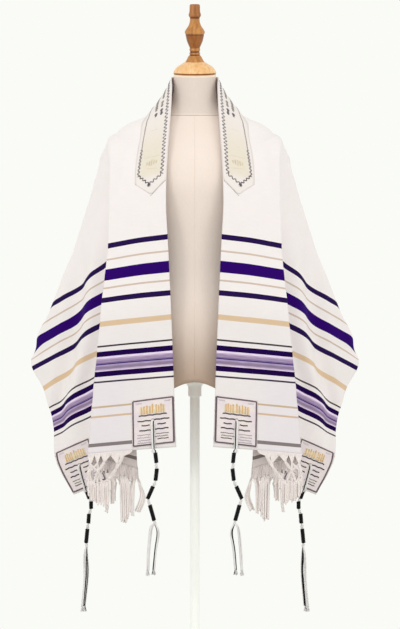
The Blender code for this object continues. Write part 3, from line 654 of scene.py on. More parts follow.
def beechMaterial(name, light, dark):
    # turned beech under clear varnish, with a soft gloss: upright grain 6 mm wide and 70 mm long, and
    # flecks 1 mm wide and 8 mm long
    made, tree = startMaterial(name, {
        "Roughness": 0.42, "Specular IOR Level": 0.35, "Coat Weight": 0.25, "Coat Roughness": 0.25})
    spot = addNode(tree, "TexCoord", output="Object")
    grain = speckle(tree, spot, (160.0, 160.0, 14.0), 4.0)
    share = addNode(tree, "MapRange", None, {0: grain, 1: 0.35, 2: 0.68})
    wood = addNode(tree, "Mix", mixed, {0: share, 6: linear(light), 7: linear(dark)}, 2)
    flecks = speckle(tree, spot, (900.0, 900.0, 120.0), 1.0)
    flecks = addNode(tree, "MapRange", None, {0: flecks, 1: 0.60, 2: 0.70, 3: 0.0, 4: 0.2})
    wood = addNode(tree, "Mix", mixed, {0: flecks, 6: wood, 7: linear(dark)}, 2)
    return finishMaterial(made, wood, grain, 0.15, 0.0003)


def enamelMaterial():
    # powder-coated steel: even, faint orange peel of 2 mm
    made, tree = startMaterial("powderCoatedSteel", {"Roughness": 0.4, "Specular IOR Level": 0.3})
    spot = addNode(tree, "TexCoord", output="Object")
    peel = speckle(tree, spot, (450.0, 450.0, 450.0), 1.0)
    shade = addNode(tree, "MapRange", None, {0: peel, 3: 0.98, 4: 1.01})
    toned = addNode(tree, "Mix", tinted, {0: 1.0, 6: linear("#FBFCF9"), 7: shade}, 2)
    return finishMaterial(made, toned, peel, 0.08, 0.0003)


wool = wovenShawlMaterial()
bandSatin = bandMaterial()
patchCotton = patchMaterial()
fringeWool = twistedYarnMaterial("twistedWoolFringe", "#F8EFED", "#E0D6D3", 0.006, 0.85)
# a darker copy of the fringe yarn: painted shade for the curtain under the front layer
fringeShaded = twistedYarnMaterial("twistedWoolFringeShaded", "#E8DDDB", "#D3C8C6", 0.006, 0.85)
whiteCord = twistedYarnMaterial("twistedWhiteCord", "#F3F0F0", "#D3CFD0", 0.004, 0.8)
blackCord = twistedYarnMaterial("twistedBlackCord", "#0F0D12", "#040305", 0.004, 0.6)
darkThread = threadMaterial("slateRayonThread", "#514953", 0.5)
greyThread = threadMaterial("ashRayonThread", "#726B73", 0.5)
blackThread = threadMaterial("charcoalRayonThread", "#352F36", 0.5)
goldThread = threadMaterial("goldRayonThread", "#E9C088", 0.4)
paleGoldThread = threadMaterial("paleGoldRayonThread", "#DDD2B0", 0.45)
lavenderThread = threadMaterial("lavenderRayonThread", "#A99DAE", 0.5)
frameThread = threadMaterial("greyRayonThread", "#776A71", 0.5)
palestGoldThread = threadMaterial("palestGoldRayonThread", "#F2E4CC", 0.45)
seamThread = threadMaterial("greySeamThread", "#9C9693", 0.6)
linen = formMaterial()
linenSeam = threadMaterial("linenSeamThread", "#BDB0A3", 0.8)
paleBeech = beechMaterial("turnedPaleBeech", "#F0C794", "#E2A968")
brownBeech = beechMaterial("turnedBrownBeech", "#AE6F33", "#8A4E1C")
# the trims' other tones: honey on the finial is painted light, chestnut and umber are painted shade
woods = {"honey": beechMaterial("turnedHoneyBeech", "#C48642", "#A3662B"),
         "chestnut": beechMaterial("turnedChestnutBeech", "#9E5E1C", "#7F450F"),
         "umber": beechMaterial("shadedBeechGroove", "#7C4614", "#5E300B")}
enamel = enamelMaterial()
print("stage: materials made")

hemDistance = shawl["halfLength"] - cloth.alongAll
drift = driftAt(np.abs(hemDistance) / mm, cloth.acrossAll, cloth.acrossAll[:, -1:])
shawlUvs = np.stack([cloth.acrossAll, hemDistance - drift], axis=-1)
shawlPiece = sheetObject("shawl_cloth", cloth.grid, shawlUvs, wool)
addWall(shawlPiece, shawl["wall"])
finishPiece(shawlPiece, "woven_white", "shawl")
print("stage: shawl sheet made")


def smoothPath(controls, count):
    # Catmull-Rom curve through the controls
    controls = np.array(controls, dtype=float)
    padded = np.vstack([2 * controls[0] - controls[1], controls, 2 * controls[-1] - controls[-2]])
    where = np.linspace(0, len(controls) - 1, count)
    path = []
    for w in where:
        i = min(int(w), len(controls) - 2)
        t = w - i
        a, b, c, d = padded[i:i + 4]
        path.append(0.5 * (2 * b + (c - a) * t + (2 * a - 5 * b + 4 * c - d) * t * t
                           + (3 * b - a - 3 * c + d) * t ** 3))
    return np.array(path)


def squareTo(path):
    # two directions square to the path at each point, carried along without a twist
    tangents = np.gradient(path, axis=0)
    tangents /= np.maximum(np.linalg.norm(tangents, axis=1), 1e-12)[:, None]
    across = np.cross(tangents[0], np.array([0.0, 1.0, 0.0]))
    if np.linalg.norm(across) < 1e-3:
        across = np.cross(tangents[0], np.array([1.0, 0.0, 0.0]))
    firsts = []
    for tangent in tangents:
        across = across - tangent * (across @ tangent)
        across /= max(np.linalg.norm(across), 1e-12)
        firsts.append(across)
    firsts = np.array(firsts)
    return firsts, np.cross(tangents, firsts)


# a stitch is a flat lens of eight points
lensFaces = ((6, 1, 0), (6, 7, 2, 1), (7, 3, 2), (7, 4, 3), (7, 6, 5, 4), (6, 0, 5), (0, 1, 2, 3, 4, 5))


class StrandMesh:
    def __init__(self):
        self.points, self.faces, self.uvs, self.slots = [], [], [], []
        self.count = 0

    def addPoints(self, points):
        self.points.append(points)
        self.count += len(points)
        return self.count - len(points)

    def addFace(self, corners, uvs, slot):
        self.faces.append(corners)
        self.uvs += uvs
        self.slots.append(slot)

    def strand(self, path, radius, sides=5, slot=0):
        path = np.asarray(path, dtype=float)
        first, second = squareTo(path)
        angles = 2 * math.pi * np.arange(sides) / sides
        ring = (first[:, None] * np.cos(angles)[None, :, None]
                + second[:, None] * np.sin(angles)[None, :, None]) * radius
        begin = self.addPoints((path[:, None] + ring).reshape(-1, 3))
        length = travelled(path)
        for i in range(len(path) - 1):
            base, top = begin + i * sides, begin + (i + 1) * sides
            for k in range(sides):
                after = (k + 1) % sides
                a, b = k / sides, (k + 1) / sides
                self.addFace((base + k, base + after, top + after, top + k),
                             [(a, length[i]), (b, length[i]), (b, length[i + 1]), (a, length[i + 1])], slot)
        final = begin + (len(path) - 1) * sides
        for end, at in ((tuple(range(begin, begin + sides))[::-1], 0.0),
                        (tuple(range(final, final + sides)), length[-1])):
            self.addFace(end, [(k / sides, at) for k in range(sides)], slot)

    def stitch(self, start, end, normal, width, height, slot):
        # one short raised thread between two points on the face
        along = end - start
        length = np.linalg.norm(along)
        along = along / max(length, 1e-9)
        square = np.cross(normal, along)
        square /= max(np.linalg.norm(square), 1e-9)
        inset = along * min(0.25 * length, width * 0.4)
        half = square * width / 2
        sink = -normal * height * 0.5
        near, far = start + inset, end - inset
        begin = self.addPoints(np.array([
            start + sink, near + half + sink, far + half + sink, end + sink, far - half + sink,
            near - half + sink, near + normal * height, far + normal * height]))
        for face in lensFaces:
            self.addFace(tuple(begin + corner for corner in face), [(0.0, 0.0)] * len(face), slot)

    def make(self, name, materials):
        return meshObject(name, np.concatenate(self.points), self.faces, self.uvs, self.slots, materials)


def stitchLine(work, side, route, lift, width, height, slot, fromSelvedge=False, length=0.004):
    # running stitches along a route of (along, across) in metres
    for (alongA, acrossA), (alongB, acrossB) in zip(route, route[1:]):
        run = math.hypot(alongB - alongA, acrossB - acrossA)
        pieces = max(1, round(run / length))
        for k in range(pieces):
            ends = [(alongA + (alongB - alongA) * t, acrossA + (acrossB - acrossA) * t)
                    for t in (k / pieces, (k + 1) / pieces)]
            start, end = (cloth.place(side, a, c, lift, fromSelvedge) for a, c in ends)
            middle = [(ends[0][i] + ends[1][i]) / 2 for i in (0, 1)]
            normal = cloth.normalAt(side, middle[0], middle[1], fromSelvedge)
            work.stitch(start, end, normal, width, height, slot)


def satinBar(work, side, start, end, halfWidth, lift, height, slot, fromSelvedge=False, pitch=0.0013):
    # close stitches square to the bar's length, as in satin stitch
    start, end = np.array(start), np.array(end)
    run = end - start
    length = np.linalg.norm(run)
    run = run / length
    square = np.array([-run[1], run[0]]) * halfWidth
    count = max(2, round(length / pitch))
    for k in range(count):
        at = start + run * length * (k + 0.5) / count
        ends = [cloth.place(side, *(at + s), lift, fromSelvedge) for s in (square, -square)]
        normal = cloth.normalAt(side, at[0], at[1], fromSelvedge)
        work.stitch(ends[0], ends[1], normal, length / count * 1.25, height, slot)


band = {
    "sideReach": 0.366, "tipReach": 0.396, "thickness": 0.0007, "columns": 14, "rows": 190,
    # border runs as (along, across) in mm, and the tip where they meet
    "inner": ((0, 10.5), (141, 10.7), (211, 10.7), (320, 10.2), (353, 11.5)), "tip": (371.5, 39.5),
    "outer": ((0, 70), (90, 70), (156, 66.4), (200, 62.5), (277, 63.6), (313, 64.9), (346.6, 65.4)),
    # borders of zigzag stitches: route, half height, slot and thread's width
    "borders": (("inner", 0.0042, 0, 0.0020), ("innerTip", 0.0030, 1, 0.0020), ("upper", 0.0008, 3, 0.0026),
                ("lower", 0.0030, 0, 0.0024), ("outerTip", 0.0030, 1, 0.0020)),
    # step along a border, and the stitches' height over the band and their own
    "tooth": 0.0047, "over": 0.0003, "high": 0.0006,
    # width and height of other threads: the cross past the tip, dashes and their stems, end seam
    "crossShift": 0.0020, "crossReach": 0.0050, "cross": (0.0018, 0.0007), "dash": (0.0034, 0.0007),
    "stem": (0.0026, 0.0006), "endSeam": (0.0016, 0.0006),
    # two close rows of dashes near the neck, in m: the counts of stitches from its end at which a
    # row is broken, and its route
    "dashRows": (((5,), ((0.050, 0.049), (0.1295, 0.0475), (0.1593, 0.0443), (0.188, 0.0415))),
                 ((7, 14), ((0.060, 0.032), (0.1403, 0.0275), (0.1595, 0.0285), (0.193, 0.0253)))),
    "dashStep": 0.0036, "dashHalf": 0.0046,
    # pale gold lines, in m: from, to, thread's width and its height
    "goldLines": (((0.3036, 0.0543), (0.3062, 0.0181), 0.0020, 0.0005),
                  ((0.3328, 0.0490), (0.3366, 0.0236), 0.0020, 0.0005),
                  ((0.2267, 0.0495), (0.2306, 0.0300), 0.0016, 0.0004)),
    # bars between two of the lines: their lengths, the line they are centred on, the first's place
    # across, the step to the next and the slant
    "goldBars": (0.007, 0.011, 0.015, 0.011, 0.007), "barsAlong": 0.3205, "barsAcross": 0.0480,
    "barStep": 0.0055, "barSlant": 0.0012, "barHalf": 0.0015,
}
bandLift = shawl["wall"] / 2 + band["thickness"] / 2 + 0.0001
bandFace = bandLift + band["thickness"] / 2
longStitch = 0.012  # longer than any zigzag's side, which is then one stitch


def bandWidth(along):
    column = shawl["columns"][0] + shawl["bend"] / 2
    j = int(column)
    widths = cloth.across[:, j] * (1 - (column - j)) + cloth.across[:, j + 1] * (column - j)
    return np.interp(along, cloth.along, widths)


def bandReach(share):
    # the band ends in a point at the middle of its width
    return band["sideReach"] + (band["tipReach"] - band["sideReach"]) * (1 - abs(2 * share - 1))


def makeNeckband():
    grid, uvs = [], []
    for t in np.linspace(-1, 1, band["rows"]):
        row, rowUvs = [], []
        for share in np.linspace(0, 1, band["columns"]):
            reach = bandReach(share)
            along = abs(t) * reach
            side = 1 if t >= 0 else -1
            across = share * bandWidth(along)
            row.append(cloth.place(side, along, across, bandLift))
            rowUvs.append((across, t * reach))
        grid.append(row)
        uvs.append(rowUvs)
    piece = sheetObject("atarah_band", np.array(grid), np.array(uvs), bandSatin)
    addWall(piece, band["thickness"])
    finishPiece(piece, "embroidered_band", "atarah")


def routePoints(route, step):
    # places at even steps along a route of (along, across) in metres, with its square direction
    route = np.array(route, dtype=float)
    length = travelled(route)
    count = max(2, round(length[-1] / step))
    places = []
    for at in np.linspace(0, length[-1], count + 1):
        here, ahead, back = (np.array([np.interp(at + d, length, route[:, i]) for i in (0, 1)])
                             for d in (0, 1e-3, -1e-3))
        run = (ahead - back) / max(np.linalg.norm(ahead - back), 1e-9)
        places.append((here, np.array([-run[1], run[0]])))
    return places


# slots of the embroidery: 0 ash, 1 slate, 2 pale gold, 3 seam thread
def stitchBorders(work, side):
    inner, outer = ([np.array(spot) * mm for spot in band[name]] for name in ("inner", "outer"))
    tip = np.array(band["tip"]) * mm
    routes = {"inner": inner, "innerTip": [inner[-1], tip], "upper": outer[:5], "lower": outer[4:],
              "outerTip": [outer[-1], tip]}
    for name, half, slot, thread in band["borders"]:
        places = routePoints(routes[name], band["tooth"])
        line = [here + square * half * (-1) ** k for k, (here, square) in enumerate(places)]
        stitchLine(work, side, line, bandFace + band["over"], thread, band["high"], slot, length=longStitch)
    middle = tip + np.array([band["crossShift"], 0])
    for turn in range(4):
        angle = math.pi * turn / 4
        reach = np.array([math.cos(angle), math.sin(angle)]) * band["crossReach"]
        stitchLine(work, side, [middle - reach, middle + reach], bandFace, *band["cross"], 1, length=0.02)


def stitchDashes(work, side):
    # each dash is two bold zigzags over a stem, and the last dash of a row is darker
    for breaks, route in band["dashRows"]:
        places = routePoints(route, band["dashStep"])
        ends = [0] + [len(places) - count for count in reversed(breaks)] + [len(places)]
        for first, last in zip(ends, ends[1:]):
            dash = places[first + 1:last]
            slot = 0 if last == len(places) else 3
            for turn in (1, -1):
                line = []
                for k, (here, square) in enumerate(dash):
                    swell = 0.35 + 0.65 * math.sin(k * 1.3) ** 2
                    line.append(here + square * band["dashHalf"] * turn * (-1) ** k * swell)
                stitchLine(work, side, line, bandFace + band["over"], *band["dash"], slot, length=longStitch)
            stem = [here for here, square in dash]
            stitchLine(work, side, stem, bandFace + band["over"], *band["stem"], slot, length=longStitch)


def stitchGold(work, side):
    for start, end, thread, height in band["goldLines"]:
        stitchLine(work, side, [start, end], bandFace, thread, height, 2)
    for number, tall in enumerate(band["goldBars"]):
        across = band["barsAcross"] - number * band["barStep"]
        satinBar(work, side, (band["barsAlong"] + tall / 2, across),
                 (band["barsAlong"] - tall / 2, across - band["barSlant"]), band["barHalf"],
                 bandFace + 0.0002, 0.0004, 2)


def makeBandEmbroidery():
    work = StrandMesh()
    for side in (1, -1):
        stitchBorders(work, side)
        stitchDashes(work, side)
        stitchGold(work, side)
        # seam of the pointed end, from the front edge to the point
        ending = [(bandReach(s) + 0.002, s * bandWidth(0.37)) for s in np.linspace(0.02, 0.5, 12)]
        stitchLine(work, side, ending, shawl["wall"] / 2, *band["endSeam"], 3, length=0.005)
    piece = work.make("atarah_embroidery", [greyThread, darkThread, paleGoldThread, seamThread])
    finishPiece(piece, "embroidered_band")


makeNeckband()
makeBandEmbroidery()
print("stage: neckband made")

patch = {
    "thickness": 0.0011, "rows": 22, "columns": 20, "border": 0.030, "nearBorder": 0.045,
    "frameHalf": 0.0019, "face": 0.0004,
    # the frame's corners as (from the hem, from the free edge) in mm: foot near, foot far, top near, top far
    "front": ((12, 4.4), (8.5, 94.4), (111, 3.2), (107.5, 92.2)),
    "side": ((6, 2.6), (7, 105), (108, 7.5), (108, 106)),
    # rows of stitches: height up the patch, from, to, half depth and thread; the pale rows are alike
    "rowsDark": ((0.655, 0.165, 0.855, 0.0019, 0.0026), (0.545, 0.100, 0.475, 0.0021, 0.0026),
                 (0.535, 0.560, 0.890, 0.0019, 0.0026), (0.436, 0.190, 0.400, 0.0019, 0.0024),
                 (0.432, 0.590, 0.790, 0.0018, 0.0024), (0.330, 0.130, 0.475, 0.0020, 0.0026),
                 (0.322, 0.570, 0.850, 0.0019, 0.0026), (0.110, 0.130, 0.410, 0.0013, 0.0020)),
    "rowsPale": ((0.225, 0.58, 0.90), (0.225, 0.12, 0.44), (0.165, 0.60, 0.90), (0.165, 0.14, 0.48),
                 (0.105, 0.58, 0.88), (0.050, 0.55, 0.90)),
    "paleHalf": 0.0013, "paleThread": 0.0012, "step": 0.0022, "high": 0.0006, "heavier": 1.3,
    # row of upright bars on a pale ground: the ground's height up the patch, from, to and half its
    # width, both stitches' pitch, the bars' foot, and each bar's place and height
    "ground": (0.765, 0.205, 0.83, 0.0088), "groundPitch": 0.0017, "barPitch": 0.0016, "barFoot": 0.690,
    "barHalf": 0.0019,
    "bars": ((0.245, 0.17), (0.300, 0.19), (0.360, 0.165), (0.420, 0.185), (0.515, 0.205), (0.580, 0.165),
             (0.655, 0.185), (0.725, 0.170), (0.790, 0.160)),
    # lavender hatching near the top corners, and the buttonhole ring round the cord's hole; each
    # thread's width and height
    "hatches": 7, "hatchFrom": 0.06, "hatchStep": 0.022, "hatchLean": 0.03, "hatchTop": 0.955,
    "hatchFoot": 0.915, "hatch": (0.0009, 0.0004),
    "ringStitches": 14, "ringInner": 0.0022, "ringOuter": 0.0042, "ring": (0.0013, 0.0006),
}
patchLift = shawl["wall"] / 2 + patch["thickness"] / 2 + 0.0001
patchFace = patchLift + patch["thickness"] / 2


def onPatch(place, share, rise):
    # share runs from the free edge to the patch's far side, rise from its foot to its top
    footNear, footFar, topNear, topFar = (np.array(corner) * mm for corner in patch[place])
    foot = footNear + (footFar - footNear) * share
    top = topNear + (topFar - topNear) * share
    fromHem, across = foot + (top - foot) * rise
    return shawl["halfLength"] - fromHem, max(across, 0.0004)


def makePatch(place, side):
    name = "patch_" + place + handed[side]
    atSelvedge = place == "side"
    grid, uvs = [], []
    for rise in np.linspace(1 + patch["border"], -patch["border"], patch["rows"]):
        row, rowUvs = [], []
        for share in np.linspace(-patch["nearBorder"], 1 + patch["border"], patch["columns"]):
            along, across = onPatch(place, share, rise)
            row.append(cloth.place(side, along, across, patchLift, atSelvedge))
            rowUvs.append((across, shawl["halfLength"] - along))
        grid.append(row)
        uvs.append(rowUvs)
    grid, uvs = np.array(grid), np.array(uvs)
    if (side < 0) != atSelvedge:
        grid, uvs = grid[:, ::-1], uvs[:, ::-1]
    piece = sheetObject(name + "_cloth", grid, uvs, patchCotton)
    addWall(piece, patch["thickness"])
    finishPiece(piece, "patch_cloth", name)


def zigzagRow(work, place, side, rise, start, end, half, thread, slot):
    # a row of close zigzag stitches that swells and thins a little
    first, last = (np.array(onPatch(place, share, rise)) for share in (start, end))
    count = max(2, round(np.linalg.norm(last - first) / patch["step"]))
    line = []
    for k in range(count + 1):
        swell = half * (0.75 + 0.25 * math.sin(k * 2.3 + rise * 40))
        line.append(first + (last - first) * k / count + np.array([swell * (-1) ** k, 0]))
    stitchLine(work, side, line, patchFace + patch["face"], thread, patch["high"], slot, place == "side",
               length=longStitch)


# slots of a patch's stitching: 0 lavender, 1 charcoal, 2 gold, 3 slate, 4 grey, 5 palest gold
def patchFrame(work, place, side):
    # satin stitch in six parts a side, heavier along the free edge
    corners = [(0, 0), (0, 1), (1, 1), (1, 0), (0, 0)]
    for (shareA, riseA), (shareB, riseB) in zip(corners, corners[1:]):
        half = patch["frameHalf"] * (patch["heavier"] if shareA == shareB == 0 else 1.0)
        for k in range(6):
            a, b = (onPatch(place, shareA + (shareB - shareA) * t / 6, riseA + (riseB - riseA) * t / 6)
                    for t in (k, k + 1))
            satinBar(work, side, a, b, half, patchFace + patch["face"], patch["high"], 4, place == "side")


def patchStitching(work, place, side):
    atSelvedge = place == "side"
    stitchFace = patchFace + patch["face"]
    patchFrame(work, place, side)
    rise, start, end, half = patch["ground"]
    satinBar(work, side, onPatch(place, start, rise), onPatch(place, end, rise), half, stitchFace - 0.0002,
             0.0004, 5, atSelvedge, patch["groundPitch"])
    for share, tall in patch["bars"]:
        foot, top = (onPatch(place, share, patch["barFoot"] + above) for above in (0, tall))
        satinBar(work, side, foot, top, patch["barHalf"], stitchFace + 0.0001, 0.0007, 2, atSelvedge,
                 patch["barPitch"])
    for rise, start, end, half, thread in patch["rowsDark"]:
        zigzagRow(work, place, side, rise, start, end, half, thread, 1)
    for rise, start, end in patch["rowsPale"]:
        zigzagRow(work, place, side, rise, start, end, patch["paleHalf"], patch["paleThread"],
                  3 if start < 0.5 else 0)
    for k in range(patch["hatches"]):
        start = patch["hatchFrom"] + patch["hatchStep"] * k
        end = start + patch["hatchLean"]
        for top, foot in ((start, end), (1 - start, 1 - end)):
            ends = [onPatch(place, top, patch["hatchTop"]), onPatch(place, foot, patch["hatchFoot"])]
            stitchLine(work, side, ends, patchFace, *patch["hatch"], 0, atSelvedge, 0.02)
    along, across = tasselSpot(place, "hole")
    count = patch["ringStitches"]
    for k in range(count):
        ends = [(along + radius * math.cos(angle), across + radius * math.sin(angle))
                for radius, angle in ((patch["ringInner"], 2 * math.pi * k / count),
                                      (patch["ringOuter"], 2 * math.pi * (k + 0.5) / count))]
        stitchLine(work, side, ends, patchFace, *patch["ring"], 3, atSelvedge)


tassel = {
    # where the cord comes through and where it passes the hem: from the hem, from the free edge, in mm
    "hole": {"front": (63, 49.6), "side": (60, 58)}, "hem": {"front": (0, 50.5), "side": (0, 40)},
    # down the cord: what it is tied into, by its drop below the hem and shift towards the middle, in mm
    "front": (("loop", 11, 2), ("wrap", 9, 4, 31, 6.5), ("knot", 37.5, 6), ("wrap", 44, 7.5, 70, 4.5),
              ("knot", 77, 2.5), ("wrap", 83, -1, 110, -13), ("knot", 117, -10.5),
              ("wrap", 124, -8, 158, 1.5), ("knot", 164, 3)),
    "side": (("loop", 7, 3), ("wrap", 4, 3, 19, 8.5), ("knot", 22.5, 11), ("wrap", 26, 12.7, 42, 12.7),
             ("knot", 48, 10.5), ("wrap", 54, 8, 75, 6.5), ("knot", 81.5, 5), ("wrap", 88, 4.5, 119, 1.5),
             ("knot", 125, 2.5)),
    "frontTails": ((((164, 3), (176, -5.5), (225, -10.5), (268, -13)), 0),
                   (((164, 3), (185, 10), (222, 4.5), (266, 0.5)), 1)),
    "sideTails": ((((125, 2.5), (150, -1.5), (205, -2), (263, -7.5)), 0),
                  (((125, 2.5), (150, 3.5), (190, 4.5), (261, -2)), 1)),
    # a tail's yarns, which of them are dark, both kinds' radii, the bundle's half width and half depth,
    # its share at the start, its first yarn's angle, and how far a yarn strays from its place
    "tailYarns": 5, "frontDark": (0, 4), "sideDark": (0, 3, 4), "yarn": 0.0013, "darkYarn": 0.0011,
    "bundle": (0.002185, 0.00152), "drawnIn": 0.35, "firstTurn": 0.6, "stray": 0.0007,
    # threads of a frayed end: how many, radius, flare, depth to width, root above the end, and drop
    "frays": 24, "fray": 0.0005, "flare": (0.001, 0.0055), "frayFlat": 0.6, "frayRoot": 0.003,
    "frayDrop": (0.007, 0.013),
    # seeds of the random strays, the cord's gap over the patch, and the share of its run inside the hole
    "seeds": {"front": 11, "side": 12}, "overGap": 0.0002, "inHole": 0.08,
    # cords side by side over the patch, and the small open loops round the hem: shift, radius and slot,
    # 0 white and 1 black; then how far the loops bulge to the front
    "over": ((0.0019, 0.0023, 0), (-0.0018, 0.0012, 1), (-0.0032, 0.0009, 0)),
    "loops": ((0.0048, 0.0012, 0), (0.0022, 0.0012, 0), (-0.0040, 0.0012, 1), (-0.0012, 0.0012, 0)),
    "loopsAhead": 0.0012,
    # between knots and wraps: two cords' half space, radius and bow, or the one cord into a knot
    "linkHalf": 0.0012, "link": 0.0014, "linkBow": 1.8, "intoKnot": 0.0018,
    # a wrap: its radius, its core's share of it, and its winding's radius, sink and pitch
    "wrapRadius": 0.0046, "wrapCore": 0.84, "windRadius": 0.0010, "windSink": 0.0007, "windPitch": 0.0019,
    # the cord over the patch, for its seat on the cloth
    "coreRadius": 0.0020,
    # a knot: the turns' radius, pitch and thickness, the core's radius, and its upper end from the middle
    "knot": (0.0023, 0.0028, 0.0014, 0.0019), "knotEnd": (0.0006, 0, 0.0026),
}


def tasselSpot(place, which):
    fromHem, across = (value * mm for value in tassel[which][place])
    return shawl["halfLength"] - fromHem, across


for side in (1, -1):
    for place in ("front", "side"):
        makePatch(place, side)
        work = StrandMesh()
        patchStitching(work, place, side)
        stitching = work.make("patch_" + place + handed[side] + "_stitching", [
            lavenderThread, blackThread, goldThread, darkThread, frameThread, palestGoldThread])
        finishPiece(stitching, "patch_cloth")
print("stage: corner patches made")


def winding(path, radius, pitch):
    length = travelled(path)
    at = np.linspace(0, length[-1], int(length[-1] / pitch * 10) + 2)
    spots, one, two = (np.stack([np.interp(at, length, row) for row in rows.T], axis=1)
                       for rows in (path, *squareTo(path)))
    angle = 2 * math.pi * at / pitch
    return spots + (one * np.cos(angle)[:, None] + two * np.sin(angle)[:, None]) * radius


def tasselBody(work, place, side, hem, below):
    last = None
    for kind, *numbers in tassel[place]:
        if kind == "loop":
            last = below(*numbers)
            for offset, radius, slot in tassel["loops"]:
                bulge = (hem + last) / 2 + np.array([side * offset, -tassel["loopsAhead"], 0])
                work.strand(smoothPath([hem, bulge, last], 14), radius, 6, slot)
        elif kind == "wrap":
            start, end = below(*numbers[:2]), below(*numbers[2:])
            for offset in (-tassel["linkHalf"], tassel["linkHalf"]):
                shift = np.array([side * offset, 0, 0])
                link = [last + shift, (last + start) / 2 + shift * tassel["linkBow"], start + shift]
                work.strand(smoothPath(link, 6), tassel["link"], 6)
            core = smoothPath([start, (start + end) / 2, end], 14)
            work.strand(core, tassel["wrapRadius"] * tassel["wrapCore"], 10, 1)
            work.strand(winding(core, tassel["wrapRadius"] - tassel["windSink"], tassel["windPitch"]),
                        tassel["windRadius"], 5, 1)
            last = end
        else:
            radius, pitch, thick, inner = tassel["knot"]
            centre = below(*numbers)
            work.strand(smoothPath([last, (last + centre) / 2, centre], 6), tassel["intoKnot"], 6)
            end = np.array(tassel["knotEnd"]) * (side, 1, 1)
            core = smoothPath([centre + end, centre, centre - end], 8)
            work.strand(winding(core, radius, pitch), thick, 6)
            work.strand(core, inner, 8)
            last = centre


def tasselTail(work, place, side, tail, dark, below, rng):
    count = tassel["tailYarns"]
    wide, deep = tassel["bundle"]
    for number in range(count):
        angle = 2 * math.pi * number / count + tassel["firstTurn"]
        spread = np.array([side * math.cos(angle) * wide, math.sin(angle) * deep, 0])
        wobble = rng.uniform(-tassel["stray"], tassel["stray"], size=(len(tail), 3))
        wobble[0] = 0
        path = [below(*spot) + spread * (1.0 if i else tassel["drawnIn"]) + wobble[i]
                for i, spot in enumerate(tail)]
        slot = 1 if dark and number in tassel[place + "Dark"] else 0
        work.strand(smoothPath(path, 44), tassel["darkYarn" if slot else "yarn"], 6, slot)
    foot = below(*tail[-1])
    for number in range(tassel["frays"]):
        angle = rng.uniform(0, 2 * math.pi)
        flare = rng.uniform(*tassel["flare"])
        drop = rng.uniform(*tassel["frayDrop"])
        out = np.array([math.cos(angle) * flare, math.sin(angle) * flare * tassel["frayFlat"], 0])
        path = [foot + out * share + np.array([0, 0, rise])
                for share, rise in ((0.2, tassel["frayRoot"]), (0.6, -drop / 2), (1, -drop))]
        work.strand(smoothPath(path, 6), tassel["fray"], 4, 1 if dark and number % 5 == 0 else 0)


def makeTassel(place, side):
    work = StrandMesh()
    rng = np.random.default_rng(tassel["seeds"][place])
    lift = patchFace + tassel["coreRadius"] + tassel["overGap"]
    hole, rim = (np.array(tasselSpot(place, which)) for which in ("hole", "hem"))
    over = [cloth.place(side, *(hole + (rim - hole) * t), lift if t > tassel["inHole"] else 0.0,
                        place == "side") for t in np.linspace(0, 1, 9)]
    hem = over[-1]

    def below(drop, shift):
        return hem + np.array([-side * shift, 0.0, -drop]) * mm

    for offset, radius, slot in tassel["over"]:
        work.strand(smoothPath([p + np.array([side * offset, 0, 0]) for p in over], 40), radius, 6, slot)
    tasselBody(work, place, side, hem, below)
    for tail, dark in tassel[place + "Tails"]:
        tasselTail(work, place, side, tail, dark, below, rng)
    name = "tzitzit_" + place + handed[side]
    finishPiece(work.make(name + "_cord", [whiteCord, blackCord]), "tassel_cord", name)


for side in (1, -1):
    for place in ("front", "side"):
        makeTassel(place, side)
print("stage: corner tassels made")

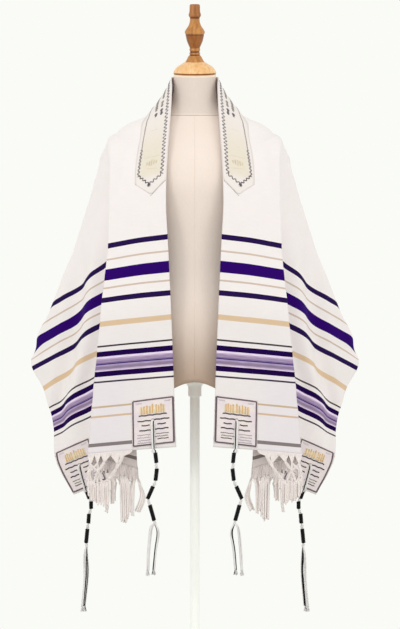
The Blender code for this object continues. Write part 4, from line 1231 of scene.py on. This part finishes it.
fringe = {
    # yarn's radius and how it varies in each layer, how much of its drop each side has, each side's
    # random seed, and how far the yarns follow the cloth's fall
    "yarn": 0.0013, "vary": (0.9, 1.1), "curtainVary": (1.0, 1.15), "lockVary": (1.15, 1.45),
    "uneven": {1: 0.95, -1: 1.0}, "seeds": {1: 5, -1: 6}, "fall": 12, "fallRun": 0.008,
    # all in mm: across from the inner edge, then drop below the hem
    "places": {"d1": (118, 10.6), "d2": (134.5, 39), "g5": (124, 17), "g4": (131, 27), "g3": (160, 21),
               "g2": (175, 22), "g1": (191, 23), "k1": (174.5, 39), "k0": (195, 40), "l1": (196.5, 55),
               "l2": (185, 67), "l3": (175.5, 61), "l4": (165, 64), "l5": (152.5, 61)},
    "knots": ("k1", "k0", "l1", "l2", "l3", "l4", "l5"),
    # how far the places lie in front of the hem
    "ahead": 0.0012,
    # yarns of the front hem from one across to another that draw together at a place
    "fans": (("d1", 99, 112), ("g5", 112, 127), ("g4", 127, 146), ("g3", 146, 168), ("g2", 168, 182),
             ("g1", 182, 200)),
    # from place to place, with how many yarns
    "links": (("d1", "d2", 3), ("g5", "d2", 2), ("g4", "d2", 2), ("d2", "l5", 3), ("g3", "k1", 3),
              ("g2", "k1", 2), ("g2", "k0", 2), ("g1", "k1", 2), ("g1", "k0", 2), ("k0", "l1", 2),
              ("k0", "l2", 2), ("k1", "l2", 2), ("k1", "l3", 2), ("k1", "l4", 2), ("l1", "l2", 1),
              ("l2", "l4", 1), ("l4", "l5", 1)),
    # the layer folded under: a close curtain of yarns down to its knots, in a darker copy of the yarn as
    # painted shade under the front layer
    "curtain": {"from": 206, "to": 318, "pitch": 1.8, "knotEvery": 9.6, "drop": 28, "scallop": 2.2,
                "wave": 0.0007, "waveRate": 5.1},
    # cords along the hem that hold the roots: from and to across, radius and drop
    "rootCords": ((98, 201), (204, 317), (323, 428)), "rootCord": 0.0009, "rootDrop": 0.4,
    # spaces between yarns along the hem, and the knots' sizes
    "fanPitch": 2.1, "wingPitch": 2.4, "wingReach": 6, "knot": 0.0028, "curtainKnot": 0.0026,
    # in knot sizes: the turns' radius, pitch and thickness, and the core's radius
    "knotShape": (0.60, 1.15, 0.52, 0.7),
    # linked yarns: half the space between them, how far they lie apart in depth, and their bow
    "linkSpace": 0.00115, "linkDepth": 0.0005, "bow": 0.0015,
    # a lock's radius with what each yarn adds, its width and depth in radii, how far its yarns turn at
    # random, and by how many mm they fall short or long
    "lockRadius": 0.0007, "lockGrowth": 0.00036, "lockShape": (1.2, 0.8), "lockTurn": 0.4,
    "lockLength": (-5, 3),
    # the wing: short fans drawn together at knots, across and drop
    "wing": ((331, 15), (345, 14), (359, 16), (373, 14), (387, 15), (400, 13), (412, 15), (423, 14)),
    # locks: across, start and end of the drop, sway at the middle and at the foot towards the
    # middle of the body, how many yarns
    "locks": (
        (189, 60, 102, 0, 1, 4), (182, 62, 108, -1, 0, 4), (175, 61, 112, -1, 0, 4), (168, 63, 113, 1, 1, 4),
        (161, 63, 119, 1, 2, 4), (155, 62, 120, 1, 1, 4), (149.5, 61, 88, 1, 1, 4), (195, 56, 94, 1, 2, 3),
        (259, 26, 92, 1, 1, 4), (281, 28, 127, 2, 3, 6), (286, 28, 129, 2, 3, 6), (291, 28, 118, 2, 3, 5),
        (295, 28, 106, 3, 5, 5), (316, 27, 98, 14, 3, 3), (311, 27, 106, -4, -4, 3),
        (229, 26, 88, 1, 1, 2), (213, 26, 80, 0, 1, 2),
        (331, 15, 96, 9, -2, 3), (345, 14, 60, -3, -4, 2), (359, 16, 98, -6, -7, 4), (373, 14, 94, 2, 2, 4),
        (387, 15, 88, 8, 8, 3), (400, 13, 50, -4, -4, 2), (412, 15, 40, 1, 1, 3), (423, 14, 70, -2, -5, 2),
    ),
}


def hang(side, across, drop, sway=0.0):
    # a place below the hem, in mm; the first part follows the cloth's own fall
    half = shawl["halfLength"]
    point = cloth.place(side, half, across * mm)
    fall = point - cloth.place(side, half - fringe["fallRun"], across * mm)
    fall = fall / np.linalg.norm(fall)
    near = min(drop, fringe["fall"])
    return point + (fall * near + np.array([-side * sway, 0, -(drop - near)])) * mm


def fringeKnot(work, at, size):
    core = smoothPath([at + np.array([0, 0, size]), at, at - np.array([0, 0, size])], 6)
    radius, pitch, thick, inner = (size * share for share in fringe["knotShape"])
    work.strand(winding(core, radius, pitch), thick)
    work.strand(core, inner, 6)


def linkYarns(work, side, rng, start, end, count):
    # parallel yarns between two places, bowed together to the front or the back
    bow = rng.uniform(-fringe["bow"], fringe["bow"])
    run = (end - start) / np.linalg.norm(end - start)
    square = np.array([run[2], 0, -run[0]]) * side
    for number in range(count):
        shift = square * fringe["linkSpace"] * (2 * number - count + 1)
        shift = shift + np.array([0, fringe["linkDepth"] * (-1) ** number, 0])
        middle = (start + end) / 2 + shift + np.array([0, bow, -abs(bow)])
        work.strand(smoothPath([start + shift * 0.8, middle, end + shift * 0.5], 10),
                    fringe["yarn"] * rng.uniform(*fringe["vary"]))


def makeLattice(work, side, rng, uneven):
    places = {name: hang(side, across, drop * uneven) - np.array([0, fringe["ahead"], 0])
              for name, (across, drop) in fringe["places"].items()}
    for name, start, end in fringe["fans"]:
        for root in np.arange(start, end, fringe["fanPitch"]):
            top = hang(side, root, -1)
            lean = places[name] - top
            drop = (6 + 1.5 * math.sin(root)) * mm
            knee = top + lean * (drop / -lean[2]) * np.array([0.25, 1, 1])
            path = smoothPath([top, knee, (knee + places[name]) / 2, places[name]], 11)
            work.strand(path, fringe["yarn"] * rng.uniform(*fringe["vary"]))
    for start, end, count in fringe["links"]:
        linkYarns(work, side, rng, places[start], places[end], count)
    for name in fringe["knots"]:
        fringeKnot(work, places[name], fringe["knot"])


def makeCurtain(work, side, rng, uneven):
    curtain = fringe["curtain"]
    first, every = curtain["from"], curtain["knotEvery"]
    for root in np.arange(first, curtain["to"], curtain["pitch"]):
        aside = round((root - first) / every) * every + first - root
        scallop = curtain["scallop"] * math.cos((root - first) * 2 * math.pi / every)
        drop = (curtain["drop"] + scallop) * uneven
        path = [hang(side, root + aside * share, fall) for share, fall in (
            (0, -1), (0, drop * 0.45), (0.30, drop * 0.85), (0.75, drop))]
        depth = np.array([0, curtain["wave"] * math.sin(root * curtain["waveRate"]), 0])
        thick = fringe["yarn"] * rng.uniform(*fringe["curtainVary"])
        # slot 1 is the darker copy of the yarn, painted shade
        work.strand(smoothPath([p + depth for p in path], 12), thick, slot=1)
    for across in np.arange(first, curtain["to"], every):
        foot = hang(side, across, (curtain["drop"] + curtain["scallop"]) * uneven)
        fringeKnot(work, foot, fringe["curtainKnot"])


def makeWingFans(work, side, uneven):
    reach = fringe["wingReach"]
    for across, drop in fringe["wing"]:
        foot = hang(side, across, drop * uneven)
        for root in np.arange(across - reach, across + reach + 0.5, fringe["wingPitch"]):
            top = hang(side, root, -1)
            bulge = np.array([side * (root - across) * -0.1 * mm, 0, 0])
            work.strand(smoothPath([top, (top + foot) / 2 + bulge, foot], 8), fringe["yarn"])
        fringeKnot(work, foot, fringe["knot"])


def makeLocks(work, side, rng, uneven):
    broad, deep = fringe["lockShape"]
    for across, start, end, middleSway, footSway, count in fringe["locks"]:
        start, end = start * uneven, end * uneven
        for number in range(count):
            angle = 2 * math.pi * number / count + rng.uniform(-fringe["lockTurn"], fringe["lockTurn"])
            wide = fringe["lockRadius"] + fringe["lockGrowth"] * count
            spread = np.array([math.cos(angle) * broad, math.sin(angle) * deep, 0]) * wide
            long = end + rng.uniform(*fringe["lockLength"]) - start
            # share of the lock's length, its sway and its spread there
            path = [hang(side, across, start + long * share, sway) + spread * wider
                    for share, sway, wider in ((0, 0, 0), (0.25, middleSway * 0.6, 1), (0.6, middleSway, 1.1),
                                               (1, footSway, 1.15))]
            work.strand(smoothPath(path, 22), fringe["yarn"] * rng.uniform(*fringe["lockVary"]))


def makeFringe(side):
    rng = np.random.default_rng(fringe["seeds"][side])
    work = StrandMesh()
    uneven = fringe["uneven"][side]
    makeLattice(work, side, rng, uneven)
    makeCurtain(work, side, rng, uneven)
    makeWingFans(work, side, uneven)
    for start, end in fringe["rootCords"]:
        work.strand([hang(side, across, fringe["rootDrop"]) for across in np.linspace(start, end, 40)],
                    fringe["rootCord"])
    makeLocks(work, side, rng, uneven)
    name = "fringe" + handed[side]
    piece = work.make(name + "_yarn", [fringeWool, fringeShaded])
    finishPiece(piece, "fringe_yarn", name)
    return piece


fringes = [makeFringe(1), makeFringe(-1)]
print("stage: fringe made")


def shapeForm(piece, heights):
    # each level of the straight tube takes its own height and the form's outline there
    corners = piece.data.vertices
    levels = np.round(np.array([corner.co.z for corner in corners]), 5)
    known = np.unique(levels)
    tiltStart, half = form["tiltStart"], form["archHalfWidth"]
    for corner, level in zip(corners, levels):
        height = float(heights[int(np.searchsorted(known, level))])
        x, y, z = formSpot(height, math.atan2(corner.co.y, corner.co.x))
        if height > tiltStart:
            z += form["neckTilt"] * y * (height - tiltStart) / (heights[-1] - tiltStart)
        # the lower edge rises in an arch at the middle
        arch = form["hemArch"] * max(0.0, 1 - (x / half) ** 2) ** form["archPower"] - form["hemDrop"]
        corner.co = (x, y, z + arch * (1 - float(softStep(*form["archFade"], height))))


def closeForm(piece):
    # closes the neck and the underside, which slopes to the stand's flat seat
    activate(piece)
    bpy.ops.object.mode_set(mode="EDIT")
    bpy.ops.mesh.select_mode(type="EDGE")
    bpy.ops.mesh.select_all(action="DESELECT")
    bpy.ops.mesh.select_non_manifold()
    for atSeat in (False, True):
        bpy.ops.mesh.extrude_region_move(TRANSFORM_OT_translate={"value": (0, 0, 0)})
        bpy.ops.object.mode_set(mode="OBJECT")
        for corner in piece.data.vertices:
            if not corner.select:
                continue
            x, y, z = corner.co
            if z > 1.0:
                shrink, height = form["closeNeck"], z - form["neckSink"]
            elif atSeat:
                shrink, height = form["seatRadius"] / math.hypot(x, y), form["seat"]
            else:
                shrink, height = form["closeUnder"], z + form["underRise"]
            corner.co = (x * shrink, y * shrink, height)
        bpy.ops.object.mode_set(mode="EDIT")
    bpy.ops.mesh.edge_face_add()
    bpy.ops.mesh.select_all(action="SELECT")
    bpy.ops.mesh.normals_make_consistent(inside=False)
    bpy.ops.object.mode_set(mode="OBJECT")


def makeForm():
    heights = np.concatenate([np.linspace(*rows) for rows in form["rows"]])
    piece = startRing("torso_cover", form["around"], 0.1)  # any radius, as each level is reshaped
    bpy.ops.object.mode_set(mode="EDIT")
    bpy.ops.mesh.select_all(action="SELECT")
    for step in np.diff(heights):
        bpy.ops.mesh.extrude_region_move(TRANSFORM_OT_translate={"value": (0, 0, float(step))})
    bpy.ops.object.mode_set(mode="OBJECT")
    shapeForm(piece, heights)
    closeForm(piece)
    piece.data.materials.append(linen)
    piece.data.shade_smooth()
    finishPiece(piece, "form_linen", "torso")


def makeFormSeams():
    work = StrandMesh()
    # seam round the foot of the neck, dipping a little at the front
    ring = [formSpot(form["neckSeam"] - form["neckDip"] * math.sin(a) ** 2 * (math.sin(a) < 0), a)
            for a in np.linspace(0, 2 * math.pi, form["ringPoints"])]
    work.strand(ring, form["ringThread"], 6)
    # centre front and centre back seams
    for angle in (-math.pi / 2, math.pi / 2):
        heights = np.linspace(form["lineFrom"], form["lineTo"], form["linePoints"])
        work.strand([formSpot(height, angle) for height in heights], form["lineThread"], slot=1)
    finishPiece(work.make("torso_seams", [linenSeam, linen]), "form_linen")


makeForm()
makeFormSeams()
print("stage: dress form made")

turned = {
    "sides": 64, "tiltHeight": 1.4596, "softEdges": 50,
    # radius and height in mm
    "finial": ((4.0, 1616.4), (9.0, 1616.1), (10.8, 1615.2), (11.5, 1613), (11.8, 1608), (11.9, 1601),
               (12.5, 1597.5), (13.4, 1595), (13.9, 1592.4), (13.8, 1590.6), (12.9, 1588.4), (11.3, 1586.4),
               (10.8, 1584), (10.9, 1580.5), (11.4, 1576.5), (12.5, 1572.5), (14.3, 1568), (17.3, 1563.5),
               (20.6, 1559), (22.4, 1555), (22.6, 1552.8), (22.0, 1550.6), (20.9, 1549.4), (20.6, 1547.6),
               (20.7, 1546.4), (20.0, 1543), (19.0, 1538.7), (17.8, 1534), (16.1, 1529.7), (14.3, 1525.2),
               (12.5, 1521.6), (11.5, 1519.4), (11.1, 1517.6), (11.9, 1516.4), (12.2, 1514.6), (11.9, 1512.6),
               (10.9, 1511.4), (10.7, 1509.4), (10.8, 1508.3)),
    "cap": ((10.8, 1508.0), (12.0, 1507.4), (12.4, 1506.2), (12.1, 1504.8), (11.4, 1503.7), (11.3, 1502.3),
            (13.0, 1501.3), (14.9, 1499.2), (16.3, 1496.2), (17.9, 1493.0), (19.7, 1490.0), (21.3, 1487.8),
            (22.2, 1486.9), (25.0, 1485.6), (29.9, 1482.6), (35.4, 1479.2), (40.3, 1475.7), (44.0, 1471.4),
            (46.4, 1467.6), (47.7, 1464.8), (48.1, 1463.0), (48.0, 1461.8), (47.4, 1460.6), (46.5, 1459.6)),
    # parts of each in another tone, from and to; on the finial the honey bands on upward faces are painted
    # light, and the chestnut band on the bulge's downward face and the umber grooves are painted shade; on
    # the cap the umber groove and the chestnut band under the rim are painted shade
    "finialTrims": ((1583.0, 1588.6, "umber"), (1549.8, 1583.0, "honey"), (1545.6, 1549.8, "umber"),
                    (1517.4, 1545.6, "chestnut"), (1512.0, 1517.4, "honey"), (1508.0, 1512.0, "umber")),
    "capTrims": ((1504.2, 1508.0, "honey"), (1501.6, 1504.2, "umber"), (1486.9, 1501.6, "honey"),
                 (1459.0, 1462.6, "chestnut")),
    "socket": ((33.0, 774.7), (33.7, 774.4), (34.0, 773.7), (34.0, 768.6), (33.4, 767.6), (20.0, 762.6),
               (17.4, 760.6), (15.6, 757.0), (15.0, 754.0), (15.0, 736.0), (14.2, 735.0)),
    "pole": ((11.0, 734.7), (11.0, 400.0), (11.0, 14.3)),
    "collar": ((12.0, 52.0), (14.4, 52.0), (15.6, 51.4), (17.0, 49.6), (17.6, 46.0), (18.4, 36.0),
               (20.0, 27.0), (22.6, 21.0), (25.4, 17.2), (27.0, 15.2)),
    "base": ((30.0, 14.0), (60.0, 13.4), (120.0, 11.3), (168.0, 9.3), (178.0, 8.3), (184.0, 6.8),
             (187.2, 4.6), (188.0, 2.2), (187.4, 0.6), (186.4, 0.0)),
}


def turnedPiece(name, profile, material, tilt=0.0, trims=()):
    radius, height = (value * mm for value in profile[0])
    piece = startRing(name, turned["sides"], radius, "NGON")
    bpy.ops.object.mode_set(mode="EDIT")
    bpy.ops.mesh.select_all(action="SELECT")
    bpy.ops.transform.translate(value=(0, 0, height))
    for (radiusA, heightA), (radiusB, heightB) in zip(profile, profile[1:]):
        bpy.ops.mesh.extrude_region_move(
            TRANSFORM_OT_translate={"value": (0, 0, (heightB - heightA) * mm)})
        share = radiusB / radiusA
        bpy.ops.transform.resize(value=(share, share, 1), center_override=(0, 0, heightB * mm))
    bpy.ops.mesh.select_all(action="SELECT")
    bpy.ops.mesh.normals_make_consistent(inside=False)
    bpy.ops.object.mode_set(mode="OBJECT")
    piece.data.materials.append(material)
    for low, high, tone in trims:
        piece.data.materials.append(woods[tone])
        for face in piece.data.polygons:
            if low * mm < face.center.z < high * mm:
                face.material_index = len(piece.data.materials) - 1
    if tilt:
        bpy.ops.object.mode_set(mode="EDIT")
        bpy.ops.transform.rotate(value=-tilt, orient_axis="X", center_override=(0, 0, turned["tiltHeight"]))
        bpy.ops.object.mode_set(mode="OBJECT")
    piece.data.shade_smooth()
    activate(piece)
    bpy.ops.object.shade_smooth_by_angle(angle=math.radians(turned["softEdges"]))
    return piece


tilt = math.atan(form["neckTilt"])
for node, name, wood in (("finial", "finial", brownBeech), ("neck_cap", "cap", paleBeech)):
    piece = turnedPiece("turned_" + node, turned[name], wood, tilt, turned[name + "Trims"])
    finishPiece(piece, "turned_beech", node)
for name, node in (("socket", "socket"), ("pole", "pole"), ("collar", "base_collar"), ("base", "base")):
    finishPiece(turnedPiece("stand_" + name, turned[name], enamel), "white_enamel", node)
print("stage: turned wood and stand made")

studio = {
    "background": "#FAFBF6", "floor": "#D2D1CC", "floorRadius": 1.74, "floorFade": 0.55, "floorSides": 96,
    "floorSink": 0.0005,
    # name, place, width and power; each lamp looks at one point
    "lamps": (("key", (-2.9, -3.2, 2.1), 1.1, 25.0), ("fill", (3.0, -3.1, 1.8), 1.8, 21.5),
              ("overhead", (0.0, -1.2, 4.4), 1.6, 9.0)),
    "lampAim": (0, 0, 1.0),
    "camera": (0.0117, -6.0, 0.919), "lens": 152.65, "filmHeight": 36.0, "clipEnd": 60.0,
}


def floorMaterial():
    # pale matt floor that fades into the backdrop towards its rim
    made, tree = startMaterial("paleStudioFloor", {
        "Roughness": 1.0, "Specular IOR Level": 0.0, "Emission Strength": 1.0})
    spot = addNode(tree, "TexCoord", output="Object")
    reach = addNode(tree, "VectorMath", {"operation": "LENGTH"}, {0: spot}, "Value")
    faded = addNode(tree, "MapRange", eased, {0: reach, 1: studio["floorFade"], 2: studio["floorRadius"]})
    for target, near, far in (("Base Color", linear(studio["floor"]), black),
                              ("Emission Color", black, linear(studio["background"]))):
        colour = addNode(tree, "Mix", mixed, {0: faded, 6: near, 7: far}, 2)
        tree.links.new(colour, tree.nodes["Principled BSDF"].inputs[target])
    return made


def addToScene(name, data, place, turn):
    made = bpy.data.objects.new(name, data)
    made.location = place
    made.rotation_euler = turn
    bpy.context.scene.collection.objects.link(made)
    return made


def makeStudio():
    scene = bpy.context.scene
    scene.world = bpy.data.worlds.new("studio")
    scene.world.use_nodes = True
    shade = scene.world.node_tree.nodes["Background"]
    shade.inputs["Color"].default_value = linear(studio["background"])
    shade.inputs["Strength"].default_value = 1.0
    floor = startRing("studio_floor", studio["floorSides"], studio["floorRadius"], "NGON",
                      -studio["floorSink"])
    floor.data.materials.append(floorMaterial())
    for name, place, size, power in studio["lamps"]:
        data = bpy.data.lights.new(name, "AREA")
        data.shape = "DISK"
        data.size = size
        data.energy = power
        aim = np.array(studio["lampAim"]) - np.array(place)
        addToScene(name, data, place, (math.atan2(math.hypot(aim[0], aim[1]), -aim[2]), 0,
                                       math.atan2(aim[0], -aim[1]) + math.pi))
    camera = bpy.data.cameras.new("camera")
    camera.sensor_fit = "VERTICAL"
    camera.sensor_height = studio["filmHeight"]
    camera.lens = studio["lens"]
    camera.clip_end = studio["clipEnd"]
    scene.camera = addToScene("camera", camera, studio["camera"], (math.pi / 2, 0, 0))
    scene.view_settings.view_transform = "Standard"


makeStudio()
print("stage: studio made")
